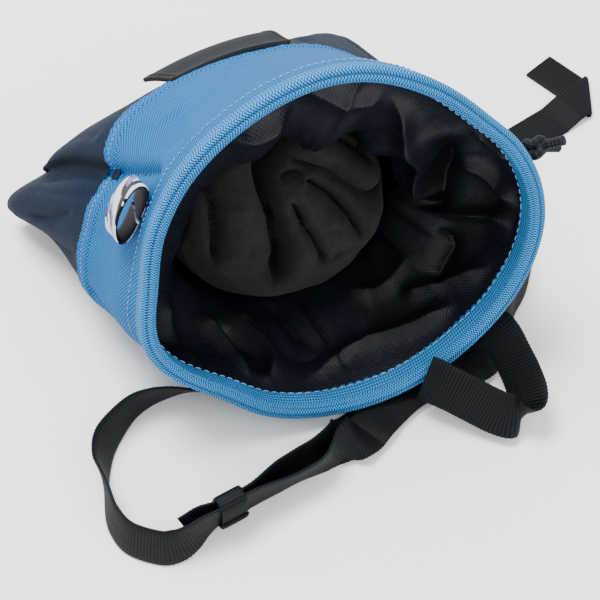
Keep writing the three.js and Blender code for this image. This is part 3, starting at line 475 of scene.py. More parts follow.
    def skirt(self, along: np.ndarray, angle: np.ndarray, extra: float = 0.0) -> np.ndarray:
        """Points of the skirt, drawn in from the collar to its gathered edge."""
        wall = self.cloth(along, angle, self.sizes.shell + self.sizes.gap + extra)
        centre = self.section(along)[0]
        target = round_curve(self.SKIRT, angle) * self.radius - extra
        pleat = 0.0
        for at, spread, depth in self.PLEATS:
            pleat = pleat + depth * self.radius * np.exp(-((turn_between(angle, at) / spread) ** 2))
        outward = wall - centre
        drawn = smooth(along / self.skirt_end(angle), 0.35, 1) ** 0.9
        length = np.linalg.norm(outward, axis=-1)
        radius = np.minimum(length + (target - length) * drawn + pleat * drawn, length)
        return centre + outward * (radius / length)[..., None]

    def fleece(self, x: np.ndarray, y: np.ndarray, dip: np.ndarray, back: np.ndarray,
               rim: np.ndarray) -> np.ndarray:
        """Points of the fleece.

        Args:
            x: Sideways place in fleece radii.
            y: Upward place in fleece radii.
            dip: Depth of its folds in millimetres.
            back: How far its edge is tucked back, from 0 to 1.
            rim: Upward place of the ring that a point belongs to, in fleece radii.

        Returns:
            Points kept inside the skirt and the bag.
        """
        z = self.sizes
        dome = z.fleece_crown * z.fleece_radius * (1 - x**2 - y**2)
        droop = z.fleece_slope * np.maximum(rim, 0)
        along = self.along_at(z.fleece_depth - dome + dip + droop + back * z.fleece_tuck)
        flat_x, flat_y = x * z.fleece_radius, y * z.fleece_radius - z.fleece_drop
        turn = np.degrees(np.arctan2(flat_y, flat_x))
        reach = np.hypot(flat_x, flat_y)
        centre, side, rise = self.section(along)
        wall = np.hypot(*self.outline(along, turn)) - (z.shell + z.skirt + 3 * z.gap)
        inner = np.linalg.norm(self.skirt(along, turn, z.skirt) - centre, axis=-1) - 4 * z.gap
        wall = np.where(along < self.skirt_end(turn) * 1.1, np.minimum(wall, inner), wall)
        gain = np.minimum(1, wall / np.maximum(reach, 1e-6))
        return centre + side * (flat_x * gain)[..., None] + rise * (flat_y * gain)[..., None]


class Shader:
    """A material's nodes, added one by one."""

    def __init__(self, name: str) -> None:
        self.material = bpy.data.materials.new(name)
        self.material.use_nodes = True
        self.tree = self.material.node_tree
        self.surface = self.tree.nodes["Principled BSDF"]

    def node(self, kind: str, **settings) -> bpy.types.Node:
        """Adds a node and sets its options."""
        item = self.tree.nodes.new(kind)
        for key, value in settings.items():
            setattr(item, key, value)
        return item

    def feed(self, socket: bpy.types.NodeSocket, value) -> None:
        """Links an output to a socket, or sets the socket to a value."""
        if isinstance(value, bpy.types.NodeSocket):
            self.tree.links.new(value, socket)
        else:
            socket.default_value = value

    def math(self, operation: str, *values) -> bpy.types.NodeSocket:
        """Adds a calculation."""
        item = self.node("ShaderNodeMath", operation=operation)
        for socket, value in zip(item.inputs, values):
            self.feed(socket, value)
        return item.outputs[0]

    def mix(self, share, low, high, blend: str = "MIX") -> bpy.types.NodeSocket:
        """Adds a mix of two colours."""
        item = self.node("ShaderNodeMix", data_type="RGBA", blend_type=blend)
        for place, value in ((0, share), (6, low), (7, high)):
            self.feed(item.inputs[place], value)
        return item.outputs[2]

    def uv(self) -> tuple[bpy.types.NodeSocket, bpy.types.NodeSocket]:
        """The piece's own coordinates in millimetres."""
        place = self.node("ShaderNodeUVMap", uv_map="UVMap")
        split = self.node("ShaderNodeSeparateXYZ")
        self.feed(split.inputs[0], place.outputs[0])
        return split.outputs[0], split.outputs[1]

    def noise(self, size: float, detail: float = 2.0) -> bpy.types.NodeSocket:
        """Adds noise with features of the given size in millimetres."""
        place = self.node("ShaderNodeTexCoord")
        item = self.node("ShaderNodeTexNoise")
        self.feed(item.inputs["Vector"], place.outputs["Object"])
        self.feed(item.inputs["Scale"], 1 / (size * MM))
        self.feed(item.inputs["Detail"], detail)
        return item.outputs["Fac"]

    def wave(self, place, pitch: float) -> bpy.types.NodeSocket:
        """Adds a sine of the given pitch."""
        return self.math("SINE", self.math("MULTIPLY", place, TURN / pitch))

    def product_wave(self, first, second, pitch: float) -> bpy.types.NodeSocket:
        """Adds crossed waves that run from 0 to 1."""
        crossed = self.math("MULTIPLY", self.wave(first, pitch), self.wave(second, pitch))
        return self.math("MULTIPLY_ADD", crossed, 0.5, 0.5)

    def painted_fold_shade(self, reach: float) -> bpy.types.NodeSocket:
        """Adds painted shade: a share that falls to 0 in folds narrower than the given reach in millimetres,
        used to darken the colour there.
        """
        item = self.node("ShaderNodeAmbientOcclusion", samples=6, only_local=True)
        self.feed(item.inputs["Distance"], reach * MM)
        return self.math("POWER", item.outputs["AO"], 1.6)

    def bump(self, height, depth: float, normal=None) -> bpy.types.NodeSocket:
        """Adds relief of the given depth in millimetres."""
        item = self.node("ShaderNodeBump")
        self.feed(item.inputs["Strength"], 1.0)
        self.feed(item.inputs["Distance"], depth * MM)
        self.feed(item.inputs["Height"], height)
        if normal is not None:
            self.feed(item.inputs["Normal"], normal)
        return item.outputs[0]


def linear(colour: Sequence[int]) -> tuple[float, float, float, float]:
    """An 8-bit display colour as light."""
    parts = [c / 255 for c in colour]
    return tuple(c / 12.92 if c <= 0.04045 else ((c + 0.055) / 1.055) ** 2.4 for c in parts) + (1.0,)


class Cloths:
    """Materials made from finishes, one of each."""

    def __init__(self) -> None:
        self.made: dict[str, bpy.types.Material] = {}

    def get(self, finish: Finish) -> bpy.types.Material:
        """The finish's material, made at first use."""
        if finish.name not in self.made:
            self.made[finish.name] = self.make(finish)
        return self.made[finish.name]

    def height(self, shader: Shader, finish: Finish) -> bpy.types.NodeSocket:
        """Relief of a cloth's threads, from 0 to 1."""
        u, v = shader.uv()
        pitch = finish.pitch
        slant = shader.math("ADD", u, v), shader.math("SUBTRACT", u, v)
        if finish.pattern is Pattern.BASKET:
            return shader.product_wave(u, v, pitch)
        if finish.pattern is Pattern.KNIT:
            swing = shader.math("MULTIPLY_ADD", shader.wave(v, 2.0 * pitch), 0.35 * pitch, u)
            return shader.math("MULTIPLY_ADD", shader.wave(swing, pitch), 0.5, 0.5)
        if finish.pattern in (Pattern.NET, Pattern.BRAID):
            return shader.product_wave(*slant, 2 * pitch)
        if finish.pattern is Pattern.RIB:
            ends = shader.math("MULTIPLY_ADD", shader.wave(v, pitch), 0.25, 0.75)
            crests = shader.wave(shader.math("ADD", u, Strap.RIB / 4), Strap.RIB)
            ribs = shader.math("MULTIPLY_ADD", crests, 0.5, 0.5)
            return shader.math("MULTIPLY", ends, ribs)
        if finish.pattern is Pattern.NAP:
            fine, coarse = shader.noise(pitch, 4.0), shader.noise(4 * pitch, 2.0)
            return shader.math("MULTIPLY_ADD", coarse, 0.5, shader.math("MULTIPLY", fine, 0.6))
        return shader.noise(pitch, 3.0)

    def colour(self, shader: Shader, finish: Finish, height: bpy.types.NodeSocket) -> bpy.types.NodeSocket:
        """Colour of a cloth over its threads, painted darker in the thread gaps and lighter on the crests,
        with soft uneven patches and painted shade in folds.
        """
        low, high = linear(finish.low), linear(finish.high)
        if finish.pattern is Pattern.SHARDS:
            cells = shader.node("ShaderNodeTexVoronoi", feature="F1", distance="MANHATTAN")
            u, v = shader.uv()
            place = shader.node("ShaderNodeCombineXYZ")
            shader.feed(place.inputs[0], shader.math("ADD", u, shader.math("MULTIPLY", v, 0.6)))
            shader.feed(place.inputs[1], v)
            shader.feed(cells.inputs["Vector"], place.outputs[0])
            shader.feed(cells.inputs["Scale"], 1 / finish.pitch)
            tones = shader.node("ShaderNodeValToRGB")
            tones.color_ramp.interpolation = "CONSTANT"
            for place_on_ramp, tone in ((0.36, (120, 118, 170)), (0.5, finish.high)):
                tones.color_ramp.elements.new(place_on_ramp).color = linear(tone)
            tones.color_ramp.elements[0].color = low
            tones.color_ramp.elements[-1].color = high
            split = shader.node("ShaderNodeSeparateColor")
            shader.feed(split.inputs[0], cells.outputs["Color"])
            shader.feed(tones.inputs[0], split.outputs[0])
            base = tones.outputs[0]
        else:
            # For woven patterns the relief sets the colour, low in the gaps as painted shade and high on the
            # crests as painted highlight; for nap and coat the noise gives uneven tone.
            base = shader.mix(height, low, high)
        patches = shader.math("MULTIPLY", shader.noise(finish.mottle_size, 3.0), 2 * finish.mottle)
        base = shader.mix(patches, base, linear((110, 110, 118)), "MULTIPLY")
        # Painted shade: folds narrower than the reach are darkened towards near black (2, 2, 3).
        if finish.painted_shade_reach:
            base = shader.mix(shader.painted_fold_shade(finish.painted_shade_reach), linear((2, 2, 3)), base)
        return base

    def make(self, finish: Finish) -> bpy.types.Material:
        """Makes a finish's material.

        Args:
            finish: Look of the cloth.

        Returns:
            The new material.
        """
        shader = Shader(finish.name)
        height = self.height(shader, finish)
        surface = shader.surface.inputs
        shader.feed(surface["Base Color"], self.colour(shader, finish, height))
        shader.feed(surface["Roughness"], finish.roughness)
        shader.feed(surface["Specular IOR Level"], finish.gloss)
        shader.feed(surface["Sheen Weight"], finish.sheen)
        shader.feed(surface["Sheen Roughness"], 0.6)
        soft = shader.bump(shader.noise(3.0, 2.0), 0.25)
        shader.feed(surface["Normal"], shader.bump(height, finish.relief, soft))
        return shader.material


class Dresser:
    """Makes the objects and says what each stands for."""

    def __init__(self, form: BagForm) -> None:
        self.form = form
        self.cloths = Cloths()
        self.shift = np.array(self.find_shift())

    def find_shift(self) -> np.ndarray:
        """Finds the shared frame's place of the bag's own frame from the bound rim's box."""
        z = self.form.sizes
        angles = np.arange(60) * 6.0
        slot = z.shell + z.skirt + 3 * z.gap
        outer = -z.gap - z.tape
        outline = [(outer, z.outer_leg), (outer, 0), (-z.gap - 0.3 * z.tape, -z.shoulder),
                   (slot * 0.45, -z.crown), (slot, -z.shoulder), (slot + z.tape - z.gap, z.inner_leg)]
        stretch = z.rim_stretch * z.reach
        rings = [self.form.cloth(depth / stretch, angles, inset) for inset, depth in outline]
        low = np.concatenate(rings).min(axis=0)
        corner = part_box("rim_binding")[0]
        return np.array([corner.x / MM - low[0], corner.y / MM - low[1], corner.z / MM - z.stand])

    def mesh(self, name: str, points: np.ndarray, uv: np.ndarray, finishes: Sequence[Finish],
             closed: bool = False, caps: bool = False, rows: Optional[np.ndarray] = None,
             columns: Optional[np.ndarray] = None) -> bpy.types.Object:
        """Makes an object from a grid of points.

        Args:
            name: Name of the object.
            points: Rows and columns of points in millimetres.
            uv: Texture places of the points in millimetres.
            finishes: Looks to choose from.
            closed: The last column is the first one again.
            caps: The first and the last row are closed by a face.
            rows: Which finish each row of faces has.
            columns: Which finish each column of faces has.

        Returns:
            The object.
        """
        lines, count = points.shape[:2]
        ring = count - 1 if closed else count
        i, j = np.meshgrid(np.arange(lines - 1), np.arange(count - 1), indexing="ij")
        corners = ((0, 0), (0, 1), (1, 1), (1, 0))
        faces = np.stack([(i + a) * ring + (j + b) % ring for a, b in corners], -1).reshape(-1, 4)
        places = np.stack([uv[i + a, j + b] for a, b in corners], -2).reshape(-1, 2)
        polygons = faces.tolist()
        if caps:
            polygons += [list(range(ring))[::-1], list(range((lines - 1) * ring, lines * ring))]
            places = np.vstack([places, uv[0, :ring][::-1], uv[-1, :ring]])
        data = bpy.data.meshes.new(name)
        vertices = (points[:, :ring].reshape(-1, 3) + self.shift) * MM
        data.from_pydata(vertices.tolist(), [], polygons)
        layer = data.uv_layers.new(name="UVMap")
        layer.data.foreach_set("uv", places.astype(np.float32).ravel())
        data.polygons.foreach_set("use_smooth", np.ones(len(polygons), dtype=bool))
        if rows is not None or columns is not None:
            choice = np.repeat(rows, count - 1) if rows is not None else np.tile(columns, lines - 1)
            choice = np.concatenate([choice, np.zeros(len(polygons) - len(choice), dtype=int)])
            data.polygons.foreach_set("material_index", choice.astype(np.int32))
        return self.place(name, data, finishes)

    def place(self, name: str, data: bpy.types.Mesh, finishes: Sequence[Finish]) -> bpy.types.Object:
        """Puts a mesh in the scene with its materials."""
        for finish in finishes:
            data.materials.append(self.cloths.get(finish))
        data.update()
        item = bpy.data.objects.new(name, data)
        bpy.context.scene.collection.objects.link(item)
        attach(item, "root")
        logger.info("%s: %d faces", name, len(data.polygons))
        return item

    def stitches(self, name: str, middles: np.ndarray, ahead: np.ndarray, up: np.ndarray, finish: Finish,
                 length: float, radius: float) -> bpy.types.Object:
        """Makes a row of stitches.

        Args:
            name: Name of the object.
            middles: Middle of each stitch.
            ahead: Direction of each stitch.
            up: Direction out of the cloth.
            finish: Look of the thread.
            length: Length of a stitch.
            radius: Half the thread's thickness.

        Returns:
            The object.
        """
        ahead = unit(ahead)
        side = unit(np.cross(up, ahead))
        up = np.cross(ahead, side)
        steps, around = np.linspace(-1, 1, 7), np.arange(7) * TURN / 6
        thick = np.sqrt(np.clip(1 - np.abs(steps) ** 3, 0.02, 1))
        sink = radius * (0.35 - 1.6 * steps**4)
        centre = (middles[:, None] + ahead[:, None] * (steps * length / 2)[:, None]
                  + up[:, None] * sink[:, None])[:, :, None]
        ring = (side[:, None, None] * np.cos(around)[:, None] + up[:, None, None] * np.sin(around)[:, None])
        points = centre + ring * (thick * radius)[:, None, None]
        vertices, faces, places = [], [], []
        corners = ((0, 0), (0, 1), (1, 1), (1, 0))
        for k, grid in enumerate(points):
            start = k * 42
            vertices.append(grid[:, :6].reshape(-1, 3))
            for a in range(6):
                for b in range(6):
                    square = [(a + p, b + q) for p, q in corners]
                    faces.append([start + 6 * row + column % 6 for row, column in square])
                    places += [(row * length / 6, column * radius) for row, column in square]
        data = bpy.data.meshes.new(name)
        data.from_pydata(((np.concatenate(vertices) + self.shift) * MM).tolist(), [], faces)
        layer = data.uv_layers.new(name="UVMap")
        layer.data.foreach_set("uv", np.array(places, dtype=np.float32).ravel())
        data.polygons.foreach_set("use_smooth", np.ones(len(faces), dtype=bool))
        return self.place(name, data, [finish])

    def tube(self, name: str, path: np.ndarray, radius: float, finish: Finish) -> bpy.types.Object:
        """Makes a round cord along a path."""
        ahead = unit(np.gradient(path, axis=0))
        side = np.cross(ahead, np.roll(ahead, 1, axis=0) + np.array([0.3, 0.5, 0.8]))
        side = unit(side)
        for k in range(1, len(side)):
            side[k] = unit(side[k - 1] - ahead[k] * (side[k - 1] @ ahead[k]))
        up = np.cross(ahead, side)
        around = np.linspace(0, TURN, 17)
        ring = side[:, None] * np.cos(around)[:, None] + up[:, None] * np.sin(around)[:, None]
        points = path[:, None] + ring * radius
        run = np.concatenate([[0], np.cumsum(np.linalg.norm(np.diff(path, axis=0), axis=1))])
        uv = np.stack(np.broadcast_arrays(run[:, None], around * 6.4 * 2 / TURN), -1)
        return self.mesh(name, points, uv, [finish], closed=True, caps=True)


class Piece:
    """One named part of the dressed bag."""

    def __init__(self, dresser: Dresser) -> None:
        self.dresser = dresser
        self.form = dresser.form
        self.sizes = dresser.form.sizes

    def build(self) -> None:
        """Makes the piece's objects."""
        raise NotImplementedError


def bag_uv(along: np.ndarray, angle: np.ndarray) -> np.ndarray:
    """Texture places of the bag's cloth in millimetres."""
    return np.stack([angle / 360 * CLOTH_ROUND, along * CLOTH_LONG], -1)


SIDE_FOLD = (
    Crease(((171, 121), (170, 96), (167, 74), (166, 58), (163, 40), (160, 26), (158, 14)),
           3.2, 3.4, -2.2, 1.4, taper=0.12),
    Crease(((176, 112), (180, 90), (178, 68), (172, 48)), 3.4, 1.2),
)


def bag_relief(along: np.ndarray, angle: np.ndarray, creases: Sequence[Crease]) -> tuple[np.ndarray, ...]:
    """Folds and wrinkles of the bag's cloth.

    Args:
        along: Places along the bag.
        angle: Angles round it.
        creases: Folds in texture millimetres.

    Returns:
        Height, and the moved places and angles.
    """
    uv = bag_uv(along, angle)
    height, move_u, move_v = folded(uv[..., 0], uv[..., 1], creases)
    turn = np.radians(angle)
    place = np.stack([np.cos(turn) * CLOTH_RADIUS, np.sin(turn) * CLOTH_RADIUS, along * CLOTH_REACH], -1)
    for amount, size, seed, octaves in WRINKLES:
        height = height + amount * noise(place, size, seed, octaves)
    return height, along + move_v / CLOTH_LONG, angle + move_u / CLOTH_ROUND * 360


class Body(Piece):
    """Navy cloth from under the collar's hem to the foot, with the foot's end panel."""

    COLUMNS = 420
    ROWS = 170
    UNDER_HEM = 7.0
    FOOT_RINGS = 34
    TUCK = (5.0, 8.0)
    TUCK_DEPTH = 0.9
    STAND_BACK = 0.25
    SEAM = 0.5
    SEAM_WIDTH = 1.2
    CREASES = SIDE_FOLD + (
        Crease(((186, 66), (195, 82), (200, 100)), 3.0, 1.3),
        Crease(((150, 74), (147, 92), (149, 112)), 3.0, 1.1),
        Crease(((205, 60), (214, 78), (216, 104)), 3.4, 1.5),
        Crease(((128, 84), (122, 98), (112, 114)), 3.4, 1.2),
        Crease(((92, 78), (96, 94), (104, 112)), 4.0, 1.4),
        Crease(((62, 66), (58, 86), (54, 108)), 4.0, 1.4),
        Crease(((30, 62), (26, 84), (28, 108)), 4.0, 1.6),
        Crease(((370, 62), (366, 84), (362, 108)), 4.0, 1.4),
    )

    def build(self) -> None:
        """Makes the navy body."""
        form = self.form
        angle = np.linspace(0, 360, self.COLUMNS + 1)[None, :]
        start = round_curve(form.SEAM, angle) - self.UNDER_HEM / self.sizes.reach
        share = np.linspace(0, 1, self.ROWS)[:, None]
        along = start + (1 - start) * share
        angle = np.broadcast_to(angle, along.shape)
        tuck = smooth((along - start) * self.sizes.reach, *self.TUCK)
        height, place, turn = bag_relief(along, angle, self.CREASES)
        end = smooth(1 - along, 0, 0.03)
        inset = self.STAND_BACK + self.TUCK_DEPTH * (1 - tuck)
        place = np.minimum(along + (place - along) * end, 1)
        points = form.cloth(place, angle + (turn - angle) * end, inset)
        past = (1 - along) * self.sizes.reach - self.SEAM_WIDTH
        seam = self.SEAM * np.exp(-(past / self.SEAM_WIDTH) ** 2)
        points = raised(points, height * tuck * end + seam)
        centre = form.section(np.array(1.0))[0]
        edge = points[-1]
        scales = np.linspace(0.985, 0.002, self.FOOT_RINGS) ** 0.9
        bulge = heading(self.sizes.foot_heading) * self.sizes.foot_bulge
        panel = np.stack([centre + (edge - centre) * k + bulge * (1 - k) ** 0.7 for k in scales])
        grid = np.concatenate([points, panel])
        grid[..., 2] = np.maximum(grid[..., 2], 0.02)
        far = np.concatenate([along, 1 + (1 - scales)[:, None] * np.full(along.shape[1], 0.45)])
        turn = np.broadcast_to(angle[:1], far.shape)
        item = self.dresser.mesh("body_cloth", grid, bag_uv(far, turn), [NAVY], closed=True)
        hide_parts("body_shell")


class Collar(Piece):
    """Blue cloth round the mouth, with its folded hem and its rows of stitches."""

    COLUMNS = 420
    ROWS = 130
    HEM = 6.5
    HEM_STITCHES = 2.6
    TOP_STITCHES = 11.0
    PUCKER = 0.12
    PUCKER_PITCH = 4.2
    STITCH_EVERY = 2.1
    STITCH = 1.4
    THREAD = 0.17
    UNDER_FROM = 236
    UNDER_TO = 304
    CREASES = SIDE_FOLD + (
        Crease(((214, 52), (222, 38), (224, 20)), 3.0, 1.3),
        Crease(((232, 54), (244, 40), (250, 24)), 3.2, 1.4),
        Crease(((150, 16), (140, 30), (136, 44)), 4.0, 0.9),
        Crease(((60, 18), (54, 34), (52, 50)), 4.0, 1.2),
    )

    def build(self) -> None:
        """Makes the collar and its stitches."""
        form, reach = self.form, self.sizes.reach
        angle = np.linspace(0, 360, self.COLUMNS + 1)[None, :]
        seam = round_curve(form.SEAM, angle)
        share = np.concatenate([np.linspace(0, 1, self.ROWS), [1.0, 1.0]])[:, None]
        along = 0.004 + (seam - 0.004) * share
        angle = np.broadcast_to(angle, along.shape)
        left = (seam - along) * reach
        groove = 0.3 * np.exp(-(((left - self.HEM_STITCHES) / 0.7) ** 2))
        hem = smooth(self.HEM + 1 - left, 0, 1.2) * 0.55 - groove
        ripple = np.sin(angle / 360 * CLOTH_ROUND / self.PUCKER_PITCH * TURN)
        pucker = self.PUCKER * ripple * np.exp(-left / 5)
        wrinkle, place, turn = bag_relief(along, angle, self.CREASES)
        free = smooth(along * reach, 3, 10)
        height = 0.35 + hem + (wrinkle + pucker) * free
        height[-2:] = [[0.2], [-0.8]]
        points = form.cloth(along + (place - along) * free, angle + (turn - angle) * free, 0.0)
        bottom = points[..., 2] < self.sizes.stand + 0.8
        height = np.where(bottom & (along < 0.34), np.minimum(height, 0.0), height)
        points = raised(points, height)
        points[..., 2] = np.maximum(points[..., 2], curve(form.CHANNEL, along) * self.sizes.stand + 0.03)
        item = self.dresser.mesh("collar_cloth", points, bag_uv(along, angle), [BLUE], closed=True)
        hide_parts("collar")
        angle = np.arange(0, 360, self.STITCH_EVERY / CLOTH_ROUND * 360)
        angle = angle[(angle < self.UNDER_FROM) | (angle > self.UNDER_TO)]
        self.row("collar_hem_stitches", round_curve(form.SEAM, angle) - self.HEM_STITCHES / reach, angle)
        self.row("collar_top_stitches", 0 * angle + self.TOP_STITCHES / reach, angle)

    def row(self, name: str, along: np.ndarray, angle: np.ndarray) -> None:
        """Makes a row of stitches round the bag."""
        height, place, turn = bag_relief(along, angle, self.CREASES)
        lift = 0.5 + height + 0.1 * (along > 0.3)
        middles = self.form.cloth(place, turn, -lift)
        ahead = self.form.cloth(place, turn + 0.5, -lift) - middles
        up = middles - self.form.section(along)[0]
        self.dresser.stitches(name, middles, ahead, up, BLUE_THREAD, self.STITCH, self.THREAD)


class Rim(Piece):
    """Tape folded over the mouth's edge, with two corded ridges and a zigzag inner edge."""

    COLUMNS = 1200
    OUTLINE = (
        (-0.10, 4.6), (-0.80, 4.8), (-1.10, 4.3), (-1.05, 2.4), (-1.05, 1.0), (-1.45, 0.3), (-1.45, -0.8),
        (-0.80, -1.5), (0.00, -1.5), (0.35, -1.0), (0.70, -1.5), (1.50, -1.9), (2.30, -1.5), (2.65, -1.0),
        (3.05, -1.1), (3.55, -0.5), (3.60, 0.4), (3.55, 1.2), (3.60, 2.4), (3.60, 3.6), (3.55, 4.5),
        (3.40, 5.1), (3.10, 5.2), (2.90, 4.8),
    )
    KNIT_FROM = 4.6
    KNIT_TO = 16.2
    ROUND = 396.0
    ZIGZAG = 3.0
    STITCH_TURN = 2.9
    STITCH_DEPTH = 4.4
    STITCH_INSET = 3.85
    STITCH = 2.2
    THREAD = 0.2

    def build(self) -> None:
        """Makes the binding and the stitches along its inner edge."""
        outline = spline(np.array(self.OUTLINE), 60)
        index = np.linspace(0, len(self.OUTLINE) - 1, 60)
        run = np.concatenate([[0], np.cumsum(np.linalg.norm(np.diff(outline, axis=0), axis=1))])
        angle = np.linspace(0, 360, self.COLUMNS + 1)
        around = angle / 360 * self.ROUND
        zigzag = np.abs(np.mod(around / self.ZIGZAG, 1) * 2 - 1) - 0.5
        edge = smooth(index, 19, 21.5)[:, None]
        inner = smooth(index, 16.5, 18.5)[:, None] * (1 - 0.4 * edge)
        turn = np.radians(angle)
        place = np.stack([np.cos(turn) * 60, np.sin(turn) * 60, 0 * turn], -1)
        wavy = noise(place, 8, 11, 2)
        inset = outline[:, :1] + inner * (0.3 * wavy + 0.1) + 0 * angle
        depth = outline[:, 1:] + edge * (0.8 * zigzag + 0.5 * noise(place, 14, 12))
        along = depth / (self.sizes.rim_stretch * self.sizes.reach)
        points = self.form.cloth(along, np.broadcast_to(angle, along.shape), inset)
        points[..., 2] = np.maximum(points[..., 2], self.sizes.stand + 0.02)
        uv = np.stack(np.broadcast_arrays(around, run[:, None]), -1)
        rows = ((index[:-1] > self.KNIT_FROM) & (index[:-1] < self.KNIT_TO)).astype(int)
        item = self.dresser.mesh("rim_tape", points, uv, [TAPE, PIPING], closed=True, rows=rows)
        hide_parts("rim_binding")
        self.inner_stitches()

    def inner_stitches(self) -> None:
        """Makes the light dashes near the tape's inner edge."""
        angle = np.arange(0, 360, self.STITCH_TURN)
        along = self.STITCH_DEPTH / (self.sizes.rim_stretch * self.sizes.reach)
        middles = self.form.cloth(along, angle, self.STITCH_INSET)
        ahead = self.form.cloth(along, angle + 0.5, self.STITCH_INSET) - middles
        up = self.form.section(np.full(angle.shape, along))[0] - middles
        self.dresser.stitches("rim_stitches", middles, ahead, up, BLUE_THREAD, self.STITCH, self.THREAD)


class Skirt(Piece):
    """Thin nylon from the mouth's edge, gathered towards the fleece."""

    COLUMNS = 560
    ROWS = 160
    PLEATS = 30
    SEED = 5
    PLEAT_AT = (30, 60)
    PLEAT_SPREAD = (2.0, 4.5)
    PLEAT_HEIGHT = (0.4, 1.3)
    PLEAT_TWIST = 9
    PLEAT_START = (0.1, 0.5)
    SPREAD = 300.0
    DEPTH = 60.0
    SHARP = 0.75
    GAIN = 1.15
    SPLIT = -170.0
    CUT = (373.0, 60.0)
    FOLDS = (
        ((64, 0.50), (37, 0.66), (-3, 0.80), (-22, 0.80), 3.4, -5.0),
        ((30, 0.52), (8, 0.66), (-17, 0.72), (-24, 0.70), 4.0, 4.5),
        ((-28, 0.66), (-33, 0.54), (-41, 0.48), (-50, 0.44), 4.0, 4.5),
        ((15, 0.64), (6, 0.50), (0, 0.34), (-3, 0.14), 4.0, -3.6),
        ((28, 0.44), (22, 0.34), (18, 0.24), (16, 0.14), 3.0, -2.0),
        ((-27, 0.80), (-18, 0.60), (-13, 0.40), (-11, 0.16), 3.4, -3.4),
        ((-62, 0.50), (-52, 0.44), (-40, 0.34), (-27, 0.20), 4.0, -2.8),
        ((-136, 0.74), (-130, 0.58), (-126, 0.40), (-122, 0.12), 3.6, -2.8),
        ((-130, 0.72), (-122, 0.55), (-117, 0.35), (-114, 0.15), 2.6, 2.4),
        ((-122, 0.88), (-114, 0.62), (-112, 0.36), (-121, 0.08), 3.6, -3.4),
        ((-104, 0.90), (-102, 0.66), (-100, 0.46), (-98, 0.30), 2.6, 2.2),
        ((-95, 0.96), (-93, 0.66), (-91, 0.42), (-88, 0.16), 1.0, 1.2),
        ((-106, 0.16), (-84, 0.34), (-61, 0.27), (-45, 0.22), 4.4, -2.8),
        ((-80, 0.72), (-66, 0.60), (-56, 0.62), (-44, 0.66), 4.0, -2.0),
        ((-154, 0.74), (-149, 0.58), (-145, 0.36), (-144, 0.08), 2.6, -1.8),
        ((124, 0.20), (117, 0.56), (107, 0.66), (94, 0.64), 4.0, -4.0),
        ((94, 0.50), (84, 0.56), (74, 0.58), (60, 0.52), 3.6, -2.4),
        ((150, 0.40), (158, 0.60), (164, 0.74), (170, 0.84), 3.0, -1.6),
    )

    def creases(self) -> list[Crease]:
        """The folds in millimetres of the nylon, from angles and shares of its depth."""
        found = []
        for *points, width, depth in self.FOLDS:
            line = tuple((angle / 360 * self.SPREAD, share * self.DEPTH) for angle, share in points)
            found.append(Crease(line, self.SHARP * width, depth, taper=0.25))
        return found

    def build(self) -> None:
        """Makes the skirt."""
        form = self.form
        angle = np.linspace(0, 360, self.COLUMNS + 1)[None, :]
        share = np.linspace(0.02, 1.0, self.ROWS)[:, None]
        along = form.skirt_end(angle) * share
        angle = np.broadcast_to(angle, along.shape)
        share = np.broadcast_to(share, along.shape)
        grid = form.skirt(along, angle)
        draw = np.random.default_rng(self.SEED)
        height = np.zeros(along.shape)
        for _ in range(self.PLEATS):
            at = draw.normal(*self.PLEAT_AT)
            spread = draw.uniform(*self.PLEAT_SPREAD)
            tall = draw.uniform(*self.PLEAT_HEIGHT)
            twist = draw.normal(0, self.PLEAT_TWIST)
            start = draw.uniform(*self.PLEAT_START)
            gap = np.abs(turn_between(angle - twist * (1 - share), at)) / (spread * (0.5 + 0.9 * share))
            height += tall * np.exp(-(gap**1.3)) * smooth(share, start, start + 0.4)
        turn = np.radians(angle)
        place = np.stack([np.cos(turn) * 40, np.sin(turn) * 40, share * 55], -1)
        height += 1.3 * noise(place, (20, 20, 30), 21) * smooth(share, 0.15, 0.5)
        height += 0.5 * noise(place, (6, 6, 16), 22, 2) * smooth(share, 0.05, 0.5)
        around = np.mod(angle - self.SPLIT, 360) + self.SPLIT
        folds = folded(around / 360 * self.SPREAD, share * self.DEPTH, self.creases())
        height += self.GAIN * folds[0]
        height = np.maximum(height, -0.5 - 5 * smooth(share, 0.35, 0.7))
        grid = raised(grid, -height * smooth(share, 0.08, 0.25))
        uv = np.stack([angle / 360 * self.SPREAD, along * CLOTH_LONG], -1)
        item = self.dresser.mesh("skirt_nylon", grid, uv, [NYLON], closed=True)
        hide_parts("lining_skirt")


